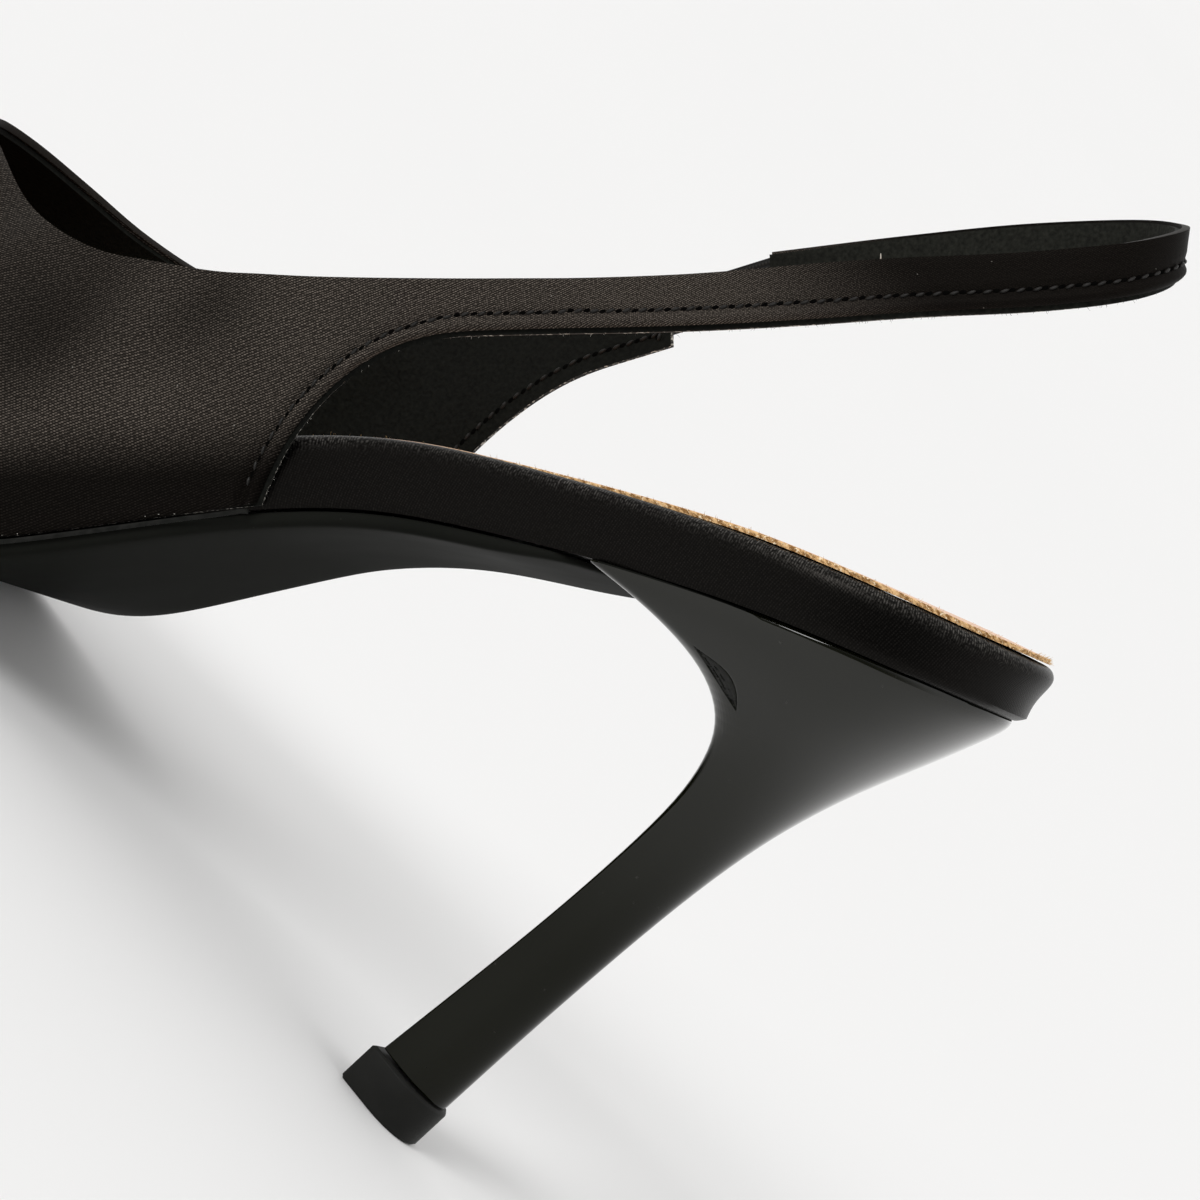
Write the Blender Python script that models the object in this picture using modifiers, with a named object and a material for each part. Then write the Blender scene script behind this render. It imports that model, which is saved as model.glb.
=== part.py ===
# Slingback pump, a right shoe standing empty on its top piece and its tread.
# +X runs to the toe, +Y to the inner side of the foot and +Z up. Sizes are in millimetres, and
# every piece is modelled from the middle of the heel tip before the whole shoe is centred.
import math
from collections import namedtuple

import bmesh
import bpy
import numpy as np

MM = 0.001
SIDEWAYS = np.array([0.0, 1.0, 0.0])

# Driving sizes
BOTTOM_LENGTH = 260.0      # along the footbed's underside, heel back to toe tip
HEEL_HEIGHT = 95.5         # floor to the back end of the heel seat
HEEL_SETBACK = 18.5        # heel tip's middle, forward of the seat's back end
SEAT_LENGTH = 53.0         # heel seat, from its back end to the breast
SEAT_HALF_WIDTH = 25.0
SEAT_CORNER = 0.05         # round front corners of the seat, as a share of its outline
BALL_HALF_WIDTH = 35.6     # footbed, across the ball
HEEL_ROUND = 27.0          # length of the footbed's round back end
TOE_ROUND = 15.0           # length of its round toe tip
QUARTER_START = 98.0       # where the quarters begin, along the bottom
SOLE_THICKNESS = 2.0
SOLE_TAPER = 14.0          # length over which the sole thins behind
SOLE_BACK_SHARE = 0.4      # share of its thickness left at the heel's breast
SOLE_RAMP = 12.0           # length over which it comes out under the upper's wall
SOLE_SETBACK = 0.2         # inside the wall's outer face
INSOLE_THICKNESS = 0.7
INSOLE_GAP = 0.15          # to the footbed under it
INSOLE_INSET = 1.7         # inside the footbed's outline
INSOLE_TOE_INSET = 2.0     # more of it at the toe, under the vamp's slope
WALL = 1.8                 # upper and strap
GAP = 0.3                  # between pieces that meet
ELASTIC_WIDTH = 6.0
ELASTIC_THICKNESS = 1.2
ELASTIC_SECTIONS = 7
ELASTIC_GAP = 0.7          # to the two cut ends, which it meets at a slight angle
TOP_PIECE_HEIGHT = 6.2
TOP_PIECE_LENGTH = 11.8
TOP_PIECE_HALF_WIDTH = 5.7
TOP_PIECE_BEVEL = 0.4
TOP_PIECE_ROUND = 0.5      # round back, as a share of its length
TOP_PIECE_CORNER = 0.08
BACK_FLARE = 2.2           # the footbed's top edge, behind its bottom edge at the back
TREAD_START = 163.0        # flat spot under the ball, along the bottom
TREAD_END = 181.0
CURVE_STEP = 0.25          # the bottom's curve is summed in steps of this length
CURVE_MARGIN = 10.0        # and runs on past both ends
SHARP_ANGLE = 40.0         # degrees between faces that meet in a sharp edge

# Slope of the bottom, downwards to the toe
Pitch = namedtuple("Pitch", "along degrees")
PITCHES = [
    Pitch(0, 23.0),
    Pitch(14, 24.0),
    Pitch(25, 26.0),
    Pitch(40, 30.0),
    Pitch(55, 32.2),
    Pitch(70, 34.2),
    Pitch(78, 36.5),
    Pitch(86, 43.0),
    Pitch(94, 48.5),
    Pitch(104, 54.5),
    Pitch(118, 56.5),
    Pitch(128, 55.0),
    Pitch(142, 36.0),
    Pitch(154, 11.0),
    Pitch(TREAD_START, 0.0),
    Pitch(TREAD_END, 0.0),
    Pitch(220, -3.0),
    Pitch(BOTTOM_LENGTH, -6.5),
]
PITCH_SCALES = (0.8, 1.2)  # the pitch is scaled between these to reach the heel height
PITCH_ROUNDS = 40

# Footbed outline as shares of the ball's half width, and the board's thickness
Board = namedtuple("Board", "along centre half thickness")
BOARDS = [
    Board(0, 0.0, SEAT_HALF_WIDTH, 8.1),
    Board(28, 0.0, SEAT_HALF_WIDTH, 8.5),
    Board(55, -0.5, 0.670 * BALL_HALF_WIDTH, 9.0),
    Board(84, -1.2, 0.630 * BALL_HALF_WIDTH, 9.6),
    Board(104, -0.4, 0.670 * BALL_HALF_WIDTH, 9.5),
    Board(129, 0.6, 0.820 * BALL_HALF_WIDTH, 7.2),
    Board(149, 0.4, 0.950 * BALL_HALF_WIDTH, 5.2),
    Board(168, 0.0, BALL_HALF_WIDTH, 4.4),
    Board(186, 0.9, 0.940 * BALL_HALF_WIDTH, 4.2),
    Board(206, 2.2, 0.760 * BALL_HALF_WIDTH, 4.0),
    Board(226, 3.4, 0.530 * BALL_HALF_WIDTH, 4.0),
    Board(244, 4.2, 0.330 * BALL_HALF_WIDTH, 4.0),
    Board(260, 4.8, 0.220 * BALL_HALF_WIDTH, 4.0),
]

# Levels of each board from its underside up or down: inset from the outline, share of the board's
# thickness, rise above that, and the share of the back flare that the round end takes
Level = namedtuple("Level", "inset share rise flare")
FOOTBED_LEVELS = [
    Level(0.5, 0.0, 0.0, 0.0),
    Level(0.0, 0.0, 0.9, 0.35),
    Level(0.0, 0.42, 0.0, 0.35),
    Level(0.0, 1.0, -1.8, 1.0),
    Level(0.35, 1.0, -0.8, 1.0),
    Level(0.95, 1.0, -0.2, 1.0),
    Level(1.7, 1.0, 0.0, 1.0),
]
INSOLE_LEVELS = [
    Level(0.0, 1.0, INSOLE_GAP, 1.0),
    Level(0.0, 1.0, INSOLE_GAP + 0.8 * INSOLE_THICKNESS, 1.0),
    Level(0.3, 1.0, INSOLE_GAP + INSOLE_THICKNESS, 1.0),
]
OUTSOLE_LEVELS = [
    Level(0.3, 0.0, -GAP, 0.0),
    Level(0.0, -0.2, -GAP, 0.0),
    Level(0.0, -0.6, -GAP, 0.0),
    Level(0.7, -1.0, -GAP, 0.0),
]
# Stations of the outlines, on each run of the bottom from the back to the toe
ROUND_STATIONS = 9
SEAT_STATIONS = 5
WAIST_STATIONS = 8
QUARTER_STATIONS = 15
FOREPART_STATIONS = 11
CUT_CLEARANCE = 1.0        # from a straight cut across to the next station

# Heel sections from the tip up: back and front points in the side view, and half width
HeelSection = namedtuple("HeelSection", "back_x back_z front_x front_z half round_share corner")
HEEL_SECTIONS = [
    HeelSection(-5.3, 6.5, 4.9, 6.5, 5.1, 0.55, 0.12),
    HeelSection(-5.4, 20.0, 3.9, 20.4, 4.7, 0.55, 0.12),
    HeelSection(-5.8, 34.0, 2.9, 34.6, 4.6, 0.55, 0.12),
    HeelSection(-6.4, 47.0, 2.5, 47.6, 5.0, 0.55, 0.15),
    HeelSection(-7.5, 58.0, 2.5, 57.0, 6.4, 0.55, 0.20),
    HeelSection(-9.0, 66.0, 3.5, 63.3, 9.0, 0.52, 0.27),
    HeelSection(-10.9, 73.2, 5.1, 67.8, 12.4, 0.50, 0.28),
    HeelSection(-12.9, 79.0, 8.2, 70.8, 16.0, 0.49, 0.22),
    HeelSection(-14.9, 84.4, 12.8, 72.3, 19.2, 0.49, 0.13),
    HeelSection(-16.7, 89.3, 19.6, 72.2, 21.8, 0.51, 0.08),
    HeelSection(-18.2, 93.4, 26.0, 71.2, 23.5, 0.53, 0.06),
]
SEAT_INSET = 0.5           # heel and waist sole, inside the satin band
BACK_POINTS = 7            # of each side's round back
CORNER_POINTS = 4

# Upper: ribs from the featherline to the topline. Each has a lower arm that leaves the sole at
# right angles, leaning out by flare, and an upper arm that leaves the topline dipping outwards.
Rib = namedtuple("Rib", "along top rise flare fall dip")
RIBS = [
    Rib(98, 0.00, 12, 1, 10, 88),
    Rib(114, 0.24, 12, 2, 11, 86),
    Rib(134, 0.48, 12, 5, 12, 78),
    Rib(152, 0.64, 12, 9, 13, 64),
    Rib(170, 0.74, 12, 12, 16, 50),
    Rib(194, 0.84, 12, 13, 20, 40),
    Rib(222, 0.925, 13, 12, 25, 34),
    Rib(244, 0.975, 14, 11, 30, 31),
    Rib(260, 1.00, 14, 10, 33, 28),
]
RIB_ROWS = 10
VAMP_RELAX_PASSES = 14     # rounds of evening out across the vamp's ridge
VAMP_RELAX_REACH = 16      # ribs each side of the middle that they change
VAMP_RELAX_HEIGHTS = (-0.6, 2.2)   # their strength from the featherline to the topline, held to 0..1
TOPLINE_STEP = 0.005       # share of the topline over which its direction is taken
STRAP_ROWS = 2             # rows of the rear edge that carry on into the strap

# Topline from the strap's root to the middle of the throat
Point = namedtuple("Point", "x y z")
THROAT = [
    Point(86.0, 27.0, 61.7),
    Point(96.9, 26.2, 52.4),
    Point(104.0, 25.2, 47.6),
    Point(111.0, 23.2, 44.8),
    Point(118.2, 19.8, 43.8),
    Point(126.2, 14.2, 43.7),
    Point(133.2, 7.6, 43.6),
    Point(136.0, 0.0, 43.4),
]
INNER_ROOT = Point(67.7, 25.8, 80.6)
OUTER_ROOT = Point(69.0, 24.6, 88.5)
OUTER_LIFT = 3.7           # how much higher the outer topline runs where it is widest
# Rear edge of each quarter, at the strap's root, and the edge's two arms
Edge = namedtuple("Edge", "side x y z lower_arm upper_arm")
INNER_EDGE = Edge(1, 62.0, 24.8, 76.0, (6.0, 0.3, 10.4), (7.4, 0.0, -9.0))
OUTER_EDGE = Edge(-1, 61.2, 23.4, 82.6, (3.8, 0.3, 14.0), (5.5, 0.0, -8.6))

# Middle of the sling strap, from the inner quarter round the heel to its far end
Strap = namedtuple("Strap", "x y z width")
STRAPS = [
    Strap(64.85, 25.3, 78.3, 7.3),
    Strap(59.2, 24.2, 84.6, 6.9),
    Strap(45.1, 22.6, 100.5, 7.1),
    Strap(26.9, 19.2, 123.4, 7.6),
    Strap(16.2, 13.2, 137.6, 7.4),
    Strap(11.8, 8.8, 145.0, 7.5),
    Strap(12.0, 0.4, 149.9, 6.9),
    Strap(17.6, -8.0, 147.6, 7.2),
    Strap(27.3, -13.0, 138.2, 7.6),
    Strap(41.2, -16.5, 121.7, 7.6),
    Strap(53.2, -19.0, 106.5, 7.6),
]
STRAP_SECTIONS = 40
STRAP_AXIS = np.array([0.66, 0.0, 0.75])   # the strap's width lies along this axis
STUB_LENGTH = 9.2          # the outer quarter, past the strap's root

Material = namedtuple("Material", "colour roughness metallic")
SATIN = Material((0.012, 0.011, 0.011, 1.0), 0.45, 0.0)
GLOSS = Material((0.010, 0.010, 0.011, 1.0), 0.12, 0.0)
RUBBER = Material((0.055, 0.055, 0.057, 1.0), 0.75, 0.0)
SOLE = Material((0.045, 0.044, 0.045, 1.0), 0.42, 0.0)
LEATHER = Material((0.56, 0.34, 0.20, 1.0), 0.70, 0.0)
WEBBING = Material((0.014, 0.013, 0.013, 1.0), 0.85, 0.0)


def hermite(x, y, slope, at):
    # Cubic pieces through the points x, y with the slopes given there
    k = np.clip(np.searchsorted(x, at) - 1, 0, len(x) - 2)
    span = x[k + 1] - x[k]
    t = (at - x[k]) / span
    if y.ndim > 1:
        t = t[:, None]
        span = span[:, None]
    start = y[k] * (1 + 2 * t) * (1 - t) ** 2 + y[k + 1] * t * t * (3 - 2 * t)
    return start + span * (slope[k] * t * (1 - t) ** 2 - slope[k + 1] * t * t * (1 - t))


def smooth(rows, value, at):
    # One column of a table against its distance along, without overshoot between the rows
    x = np.array([row.along for row in rows], float)
    y = np.array([getattr(row, value) for row in rows], float)
    step = np.diff(x)
    rise = np.diff(y) / step
    slope = np.zeros(len(x))
    slope[0] = rise[0]
    slope[-1] = rise[-1]
    for i in range(1, len(x) - 1):
        if rise[i - 1] * rise[i] > 0:
            before = 2 * step[i] + step[i - 1]
            after = step[i] + 2 * step[i - 1]
            slope[i] = (before + after) / (before / rise[i - 1] + after / rise[i])
    return hermite(x, y, slope, np.clip(at, x[0], x[-1]))


def trace(points, shares):
    # A smooth space curve through a few points, at shares of its length
    points = np.array(points, float)
    reach = np.concatenate([[0.0], np.cumsum(np.linalg.norm(np.diff(points, axis=0), axis=1))])
    reach = reach / reach[-1]
    return hermite(reach, points, np.gradient(points, reach, axis=0), np.asarray(shares, float))


def bezier(start, arm, far_arm, end, shares):
    t = np.asarray(shares)[:, None]
    near = start * (1 - t) ** 3 + 3 * (start + arm) * t * (1 - t) ** 2
    return near + 3 * (end + far_arm) * t * t * (1 - t) + end * t ** 3


def unit(vector):
    return vector / np.linalg.norm(vector)


def bottom_curve():
    # The pitch is scaled until the seat's back end stands at the heel height
    along = np.arange(-CURVE_MARGIN, BOTTOM_LENGTH + CURVE_MARGIN, CURVE_STEP)
    pitch = np.radians(smooth(PITCHES, "degrees", along))
    behind = (along >= 0) & (along <= TREAD_START)
    low, high = PITCH_SCALES
    for _ in range(PITCH_ROUNDS):
        scale = (low + high) / 2
        drop = np.sum(np.sin(pitch[behind] * scale)) * CURVE_STEP
        if drop < HEEL_HEIGHT - SOLE_THICKNESS - GAP:
            low = scale
        else:
            high = scale
    pitch = np.where(along < TREAD_START, pitch * scale, pitch)
    x = np.cumsum(np.cos(pitch)) * CURVE_STEP
    z = -np.cumsum(np.sin(pitch)) * CURVE_STEP
    x += -HEEL_SETBACK - np.interp(0.0, along, x)
    z += SOLE_THICKNESS + GAP - np.interp((TREAD_START + TREAD_END) / 2, along, z)
    return along, pitch, x, z


ALONG, PITCH, BOTTOM_X, BOTTOM_Z = bottom_curve()


def place(along, side, rise):
    # A point at a distance along the bottom, across it and square above it
    pitch = np.interp(along, ALONG, PITCH)
    x = np.interp(along, ALONG, BOTTOM_X) + rise * np.sin(pitch)
    z = np.interp(along, ALONG, BOTTOM_Z) + rise * np.cos(pitch)
    return np.stack([x, np.broadcast_to(side, x.shape), z], axis=-1)


def square_up(along):
    pitch = np.interp(along, ALONG, PITCH)
    return np.array([math.sin(pitch), 0.0, math.cos(pitch)])


def forward(along):
    pitch = np.interp(along, ALONG, PITCH)
    return np.array([math.cos(pitch), 0.0, -math.sin(pitch)])


def stations():
    # Close together at the round ends and at the bend of the ball
    quarter_turn = np.linspace(0.0, math.pi / 2, ROUND_STATIONS)
    heel_end = HEEL_ROUND * (1 - np.cos(quarter_turn))
    toe_end = BOTTOM_LENGTH - TOE_ROUND + TOE_ROUND * np.sin(quarter_turn)
    runs = [
        heel_end,
        np.linspace(HEEL_ROUND, SEAT_LENGTH, SEAT_STATIONS)[1:],
        np.linspace(SEAT_LENGTH, QUARTER_START, WAIST_STATIONS)[1:],
        np.linspace(QUARTER_START, TREAD_START, QUARTER_STATIONS)[1:],
        np.linspace(TREAD_START, BOTTOM_LENGTH - TOE_ROUND, FOREPART_STATIONS)[1:],
        toe_end[1:],
    ]
    return np.concatenate(runs)


STATIONS = stations()


def outline(offset):
    # Footbed outline in the flat, grown by an offset: inner and outer sides, back to toe, and the
    # outward normals there. Both sides share their first and last points.
    centre = smooth(BOARDS, "centre", STATIONS)
    half = smooth(BOARDS, "half", STATIONS)
    back = np.clip((HEEL_ROUND - STATIONS) / HEEL_ROUND, 0, 1)
    toe = np.clip((STATIONS - BOTTOM_LENGTH + TOE_ROUND) / TOE_ROUND, 0, 1)
    half = half * np.sqrt(1 - back ** 2) * np.sqrt(1 - toe ** 2)
    inner = np.stack([STATIONS, centre + half], axis=1)
    outer = np.stack([STATIONS, centre - half], axis=1)
    ring = np.concatenate([inner, outer[-2:0:-1]])
    tangent = np.roll(ring, -1, axis=0) - np.roll(ring, 1, axis=0)
    normal = np.stack([-tangent[:, 1], tangent[:, 0]], axis=1)
    normal /= np.linalg.norm(normal, axis=1)[:, None]
    count = len(STATIONS)
    sides = []
    for points, normals in (
        (inner, normal[:count]),
        (outer, np.concatenate([normal[:1], normal[:count - 2:-1]])),
    ):
        sides.append((points + normals * np.broadcast_to(offset, STATIONS.shape)[:, None], normals))
    return sides


def make_object(name, points, faces, material, outward=True):
    mesh = bpy.data.meshes.new(name)
    mesh.from_pydata([tuple(point * MM) for point in points], [], faces)
    if outward:
        shape = bmesh.new()
        shape.from_mesh(mesh)
        bmesh.ops.recalc_face_normals(shape, faces=shape.faces)
        shape.to_mesh(mesh)
        shape.free()
    mesh.shade_smooth()
    mesh.set_sharp_from_angle(angle=math.radians(SHARP_ANGLE))
    surface = bpy.data.materials.new(name)
    surface.use_nodes = True
    shader = surface.node_tree.nodes["Principled BSDF"]
    shader.inputs["Base Color"].default_value = material.colour
    shader.inputs["Roughness"].default_value = material.roughness
    shader.inputs["Metallic"].default_value = material.metallic
    mesh.materials.append(surface)
    piece = bpy.data.objects.new(name, mesh)
    SHOE.objects.link(piece)
    piece.parent = SHOE_ROOT
    return piece


def strips_across(ring, open_back):
    # Faces over a ring's inside, each from a point of one side to the point opposite
    count = len(ring)
    last = count - 1 if open_back else count
    faces = []
    for j in range(last // 2):
        corners = [ring[j], ring[j + 1], ring[(last - j - 1) % count], ring[(last - j) % count]]
        faces.append(list(dict.fromkeys(corners)))
    return faces


def loft(name, rings, open_back, material):
    count = len(rings[0])
    faces = []
    for level in range(len(rings) - 1):
        for j in range(count):
            after = (j + 1) % count
            low = level * count
            high = low + count
            faces.append([low + j, low + after, high + after, high + j])
    top = (len(rings) - 1) * count
    faces += strips_across(list(range(count)), open_back)
    faces += strips_across(list(range(top, top + count)), open_back)
    return make_object(name, np.concatenate(rings), faces, material)


def cut_back(side, start):
    # The part of one side that lies ahead of a straight line across
    across = np.interp(start, side[:, 0], side[:, 1])
    return np.concatenate([[[start, across]], side[STATIONS > start + CUT_CLEARANCE]])


def slab(name, offset, levels, thickness, material, start=None):
    # A board on the bottom, with an outline at each level; a start cuts off what lies behind it
    rings = []
    for level in levels:
        (inner, _), (outer, _) = outline(offset - level.inset)
        pull = BACK_FLARE * level.flare * np.clip(1 - STATIONS / HEEL_ROUND, 0, 1) ** 2
        inner[:, 0] -= pull
        outer[:, 0] -= pull
        if start is not None:
            inner, outer = cut_back(inner, start), cut_back(outer, start)
        first = 1 if start is None else 0
        flat = np.concatenate([inner, outer[first:-1][::-1]])
        along = flat[:, 0]
        rings.append(place(along, flat[:, 1], level.share * thickness(along) + level.rise))
    return loft(name, rings, start is not None, material)


def board_top(along):
    return smooth(BOARDS, "thickness", along)


def make_footbed():
    return slab("footbed", 0.0, FOOTBED_LEVELS, board_top, SATIN)


def make_insole():
    toe = np.clip((STATIONS - TREAD_START) / (BOTTOM_LENGTH - TREAD_START), 0, 1)
    reach = -INSOLE_INSET - INSOLE_TOE_INSET * toe
    return slab("insole", reach, INSOLE_LEVELS, board_top, LEATHER)


def sole_depth(along):
    # The sole thins out towards the heel's breast
    taper = np.clip((along - SEAT_LENGTH) / SOLE_TAPER, 0, 1)
    return SOLE_THICKNESS * (SOLE_BACK_SHARE + (1 - SOLE_BACK_SHARE) * taper)


def make_outsole():
    # Inside the satin band at the waist, and out under the upper's wall ahead of it
    share = np.clip((STATIONS - QUARTER_START) / SOLE_RAMP, 0, 1)
    reach = -SEAT_INSET + share * (WALL + GAP - SOLE_SETBACK)
    return slab("outsole", reach, OUTSOLE_LEVELS, sole_depth, SOLE, start=SEAT_LENGTH + GAP)


def horseshoe(round_share, corner):
    # One side of a D outline: share of the length from the back, and share of the half width
    turn = np.linspace(0.0, math.pi / 2, BACK_POINTS)
    back = np.stack([round_share * (1 - np.cos(turn)), np.sin(turn)], axis=1)
    middle = [[(round_share + 1 - corner) / 2, 1.0]]
    turn = np.linspace(0.0, math.pi / 2, CORNER_POINTS)
    front = np.stack([1 - corner + corner * np.sin(turn), 1 - corner * (1 - np.cos(turn))], axis=1)
    return np.concatenate([back, middle, front])


def d_ring(shares, half, at):
    # A closed ring from one side of a D outline, with its mirror image
    inner = [at(share, half * side) for share, side in shares]
    outer = [at(share, -half * side) for share, side in shares[1:]]
    return np.array(inner + outer[::-1])


def on_seat(share, side):
    along = SEAT_INSET + share * (SEAT_LENGTH - SEAT_INSET)
    return place(np.array(along), side, -GAP)


def make_heel():
    rings = []
    for row in HEEL_SECTIONS:
        back = np.array([row.back_x, 0.0, row.back_z])
        run = np.array([row.front_x, 0.0, row.front_z]) - back
        shares = horseshoe(row.round_share, row.corner)
        rings.append(d_ring(shares, row.half, lambda share, side: back + share * run + side * SIDEWAYS))
    shares = horseshoe(HEEL_ROUND / SEAT_LENGTH, SEAT_CORNER)
    rings.append(d_ring(shares, SEAT_HALF_WIDTH - 2 * SEAT_INSET, on_seat))
    return loft("heel", rings, False, GLOSS)


def make_top_piece():
    # A flat D outline on the floor, thickened upwards, with its rims bevelled
    shares = horseshoe(TOP_PIECE_ROUND, TOP_PIECE_CORNER)
    back = np.array([-TOP_PIECE_LENGTH / 2, 0.0, 0.0])
    run = np.array([TOP_PIECE_LENGTH, 0.0, 0.0])
    ring = d_ring(shares, TOP_PIECE_HALF_WIDTH, lambda share, side: back + share * run + side * SIDEWAYS)
    piece = make_object("top_piece", ring, [list(range(len(ring)))], RUBBER, outward=False)
    block = piece.modifiers.new("block", "SOLIDIFY")
    block.thickness = TOP_PIECE_HEIGHT * MM
    block.offset = -1.0
    rim = piece.modifiers.new("rim", "BEVEL")
    rim.width = TOP_PIECE_BEVEL * MM
    rim.segments = 1
    rim.limit_method = "ANGLE"
    rim.angle_limit = math.radians(SHARP_ANGLE)
    return piece


def rib_column(along, point, normal, topline, head_share):
    # One rib of the upper, from the featherline to the topline
    row = {name: float(smooth(RIBS, name, np.array([along]))[0]) for name in Rib._fields[1:]}
    foot = place(np.array(point[0]), point[1], GAP)
    out = unit(normal[0] * forward(point[0]) + normal[1] * SIDEWAYS)
    lean = math.radians(row["flare"])
    arm = row["rise"] * (math.cos(lean) * square_up(point[0]) + math.sin(lean) * out)
    share = head_share(row["top"])
    before, head, after = trace(topline, [share - TOPLINE_STEP, share, share + TOPLINE_STEP])
    level = np.cross([0.0, 0.0, 1.0], after - before)
    level = unit(level * np.array([1.0, 1.0, 0.0]))
    down = foot - head
    down = unit(down - np.dot(down, level) * level)
    dip = math.radians(row["dip"])
    far_arm = row["fall"] * (math.cos(dip) * level + math.sin(dip) * down)
    return bezier(foot, arm, far_arm, head, np.linspace(0, 1, RIB_ROWS + 1))


def rear_column(foot, edge, root):
    # The quarter's rear edge, and then the strap's root across to the topline
    corner = np.array([edge.x, edge.side * edge.y, edge.z])
    rows = RIB_ROWS - STRAP_ROWS
    side = np.array([1.0, edge.side, 1.0])
    rise = bezier(foot, np.array(edge.lower_arm) * side, np.array(edge.upper_arm) * side, corner,
                  np.linspace(0, 1, rows + 1))
    across = np.linspace(0, 1, STRAP_ROWS + 1)[1:, None]
    return np.concatenate([rise, corner + across * (np.array(root) - corner)])


def whole_topline():
    # From the inner strap root round the throat to the outer root, and the throat's share of it
    inner = np.array([INNER_ROOT] + THROAT)
    outer = np.array([OUTER_ROOT] + THROAT) * np.array([1.0, -1.0, 1.0])
    outer[1:, 2] += OUTER_LIFT * (outer[1:, 1] / outer[1, 1]) ** 3
    topline = np.concatenate([inner, outer[-2::-1]])
    steps = np.linalg.norm(np.diff(topline, axis=0), axis=1)
    return topline, steps[:len(THROAT)].sum() / steps.sum()


def upper_columns():
    (inner, inner_normals), (outer, outer_normals) = outline(GAP)
    topline, middle = whole_topline()
    columns = []
    first = int(np.argmin(np.abs(STATIONS - QUARTER_START)))
    for points, normals, edge, root, head_share in (
        (inner, inner_normals, INNER_EDGE, topline[0], lambda top: top * middle),
        (outer, outer_normals, OUTER_EDGE, topline[-1], lambda top: 1 - top * (1 - middle)),
    ):
        foot = place(np.array(points[first, 0]), points[first, 1], GAP)
        run = [rear_column(foot, edge, root)]
        for i in range(first + 1, len(STATIONS)):
            run.append(rib_column(STATIONS[i], points[i], normals[i], topline, head_share))
        columns.append(run)
    return relax(columns[0] + columns[1][-2::-1])


def relax(columns):
    # Rounds the vamp across its middle, above the toe box. Featherline and topline stay.
    grid = np.array(columns)
    from_middle = np.abs(np.arange(len(columns)) - len(columns) // 2)
    across = np.clip(1 - from_middle / VAMP_RELAX_REACH, 0, 1)[1:-1, None, None]
    height = np.clip(np.linspace(*VAMP_RELAX_HEIGHTS, RIB_ROWS + 1), 0, 1)[None, 1:-1, None]
    for _ in range(VAMP_RELAX_PASSES):
        inside = grid[1:-1, 1:-1]
        mean = (grid[:-2, 1:-1] + grid[2:, 1:-1]) / 2
        grid[1:-1, 1:-1] = inside + across * height * 0.5 * (mean - inside)
    return list(grid)


def ribbon(rows, widths, count):
    # Cross-sections of a strap: lower edge, middle and upper edge
    shares = np.linspace(0, 1, count)
    middle = trace(rows, shares)
    width = np.interp(shares, np.linspace(0, 1, len(widths)), widths)
    along = np.gradient(middle, axis=0)
    sections = []
    for point, tangent, size in zip(middle, along, width):
        tangent = unit(tangent)
        across = unit(STRAP_AXIS - np.dot(STRAP_AXIS, tangent) * tangent)
        sections.append([point + across * size * share for share in (-0.5, 0.0, 0.5)])
    return sections


def stitch(faces, left, right):
    # Faces between two neighbouring columns of points, low to high
    for low in range(len(left) - 1):
        faces.append([left[low], left[low + 1], right[low + 1], right[low]])


def make_shell(name, points, faces, thickness, material):
    shell = make_object(name, points, faces, material, outward=False)
    wall = shell.modifiers.new("wall", "SOLIDIFY")
    wall.thickness = thickness * MM
    wall.offset = 1.0
    wall.use_even_offset = True
    return shell


def strap_sections():
    return ribbon([row[:3] for row in STRAPS], [row.width for row in STRAPS], STRAP_SECTIONS)


def stub_section(columns):
    # The cut end of the outer quarter, a little past the strap's root and towards the strap's end
    root = columns[-1][-STRAP_ROWS - 1:]
    away = unit(np.array(STRAPS[-1][:3]) - root[1])
    return [point + away * STUB_LENGTH for point in root], away


def make_upper():
    columns = upper_columns()
    points = [point for column in columns for point in column]
    height = RIB_ROWS + 1
    grid = [[i * height + j for j in range(height)] for i in range(len(columns))]
    faces = []
    for left, right in zip(grid, grid[1:]):
        stitch(faces, left, right)
    before = grid[0][-STRAP_ROWS - 1:]
    for section in strap_sections()[1:]:
        new = list(range(len(points), len(points) + len(section)))
        points += section
        stitch(faces, new, before)
        before = new
    end, _ = stub_section(columns)
    new = list(range(len(points), len(points) + len(end)))
    points += end
    stitch(faces, grid[-1][-STRAP_ROWS - 1:], new)
    return make_shell("upper", points, faces, WALL, SATIN)


def make_elastic():
    # From the outer quarter's cut end to the strap's end, in the middle of their thickness
    end, away = stub_section(upper_columns())
    far = np.array(STRAPS[-1][:3])
    route = [end[1] + away * ELASTIC_GAP, (end[1] + far) / 2, far - away * ELASTIC_GAP]
    sections = ribbon(route, [ELASTIC_WIDTH, ELASTIC_WIDTH], ELASTIC_SECTIONS)
    out = np.array([0.0, -(WALL - ELASTIC_THICKNESS) / 2, 0.0])
    points = [point + out for section in sections for point in section]
    grid = [[i * 3 + j for j in range(3)] for i in range(ELASTIC_SECTIONS)]
    faces = []
    for left, right in zip(grid, grid[1:]):
        stitch(faces, left, right)
    return make_shell("elastic", points, faces, ELASTIC_THICKNESS, WEBBING)


def centre_on_floor(pieces):
    # The origin is the middle of the shoe's box, on the floor
    bpy.context.view_layer.update()
    graph = bpy.context.evaluated_depsgraph_get()
    corners = []
    for piece in pieces:
        shape = piece.evaluated_get(graph)
        corners += [list(corner) for corner in shape.bound_box]
    corners = np.array(corners)
    middle = (corners.min(axis=0) + corners.max(axis=0)) / 2
    SHOE_ROOT.location = (-middle[0], -middle[1], 0.0)


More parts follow.
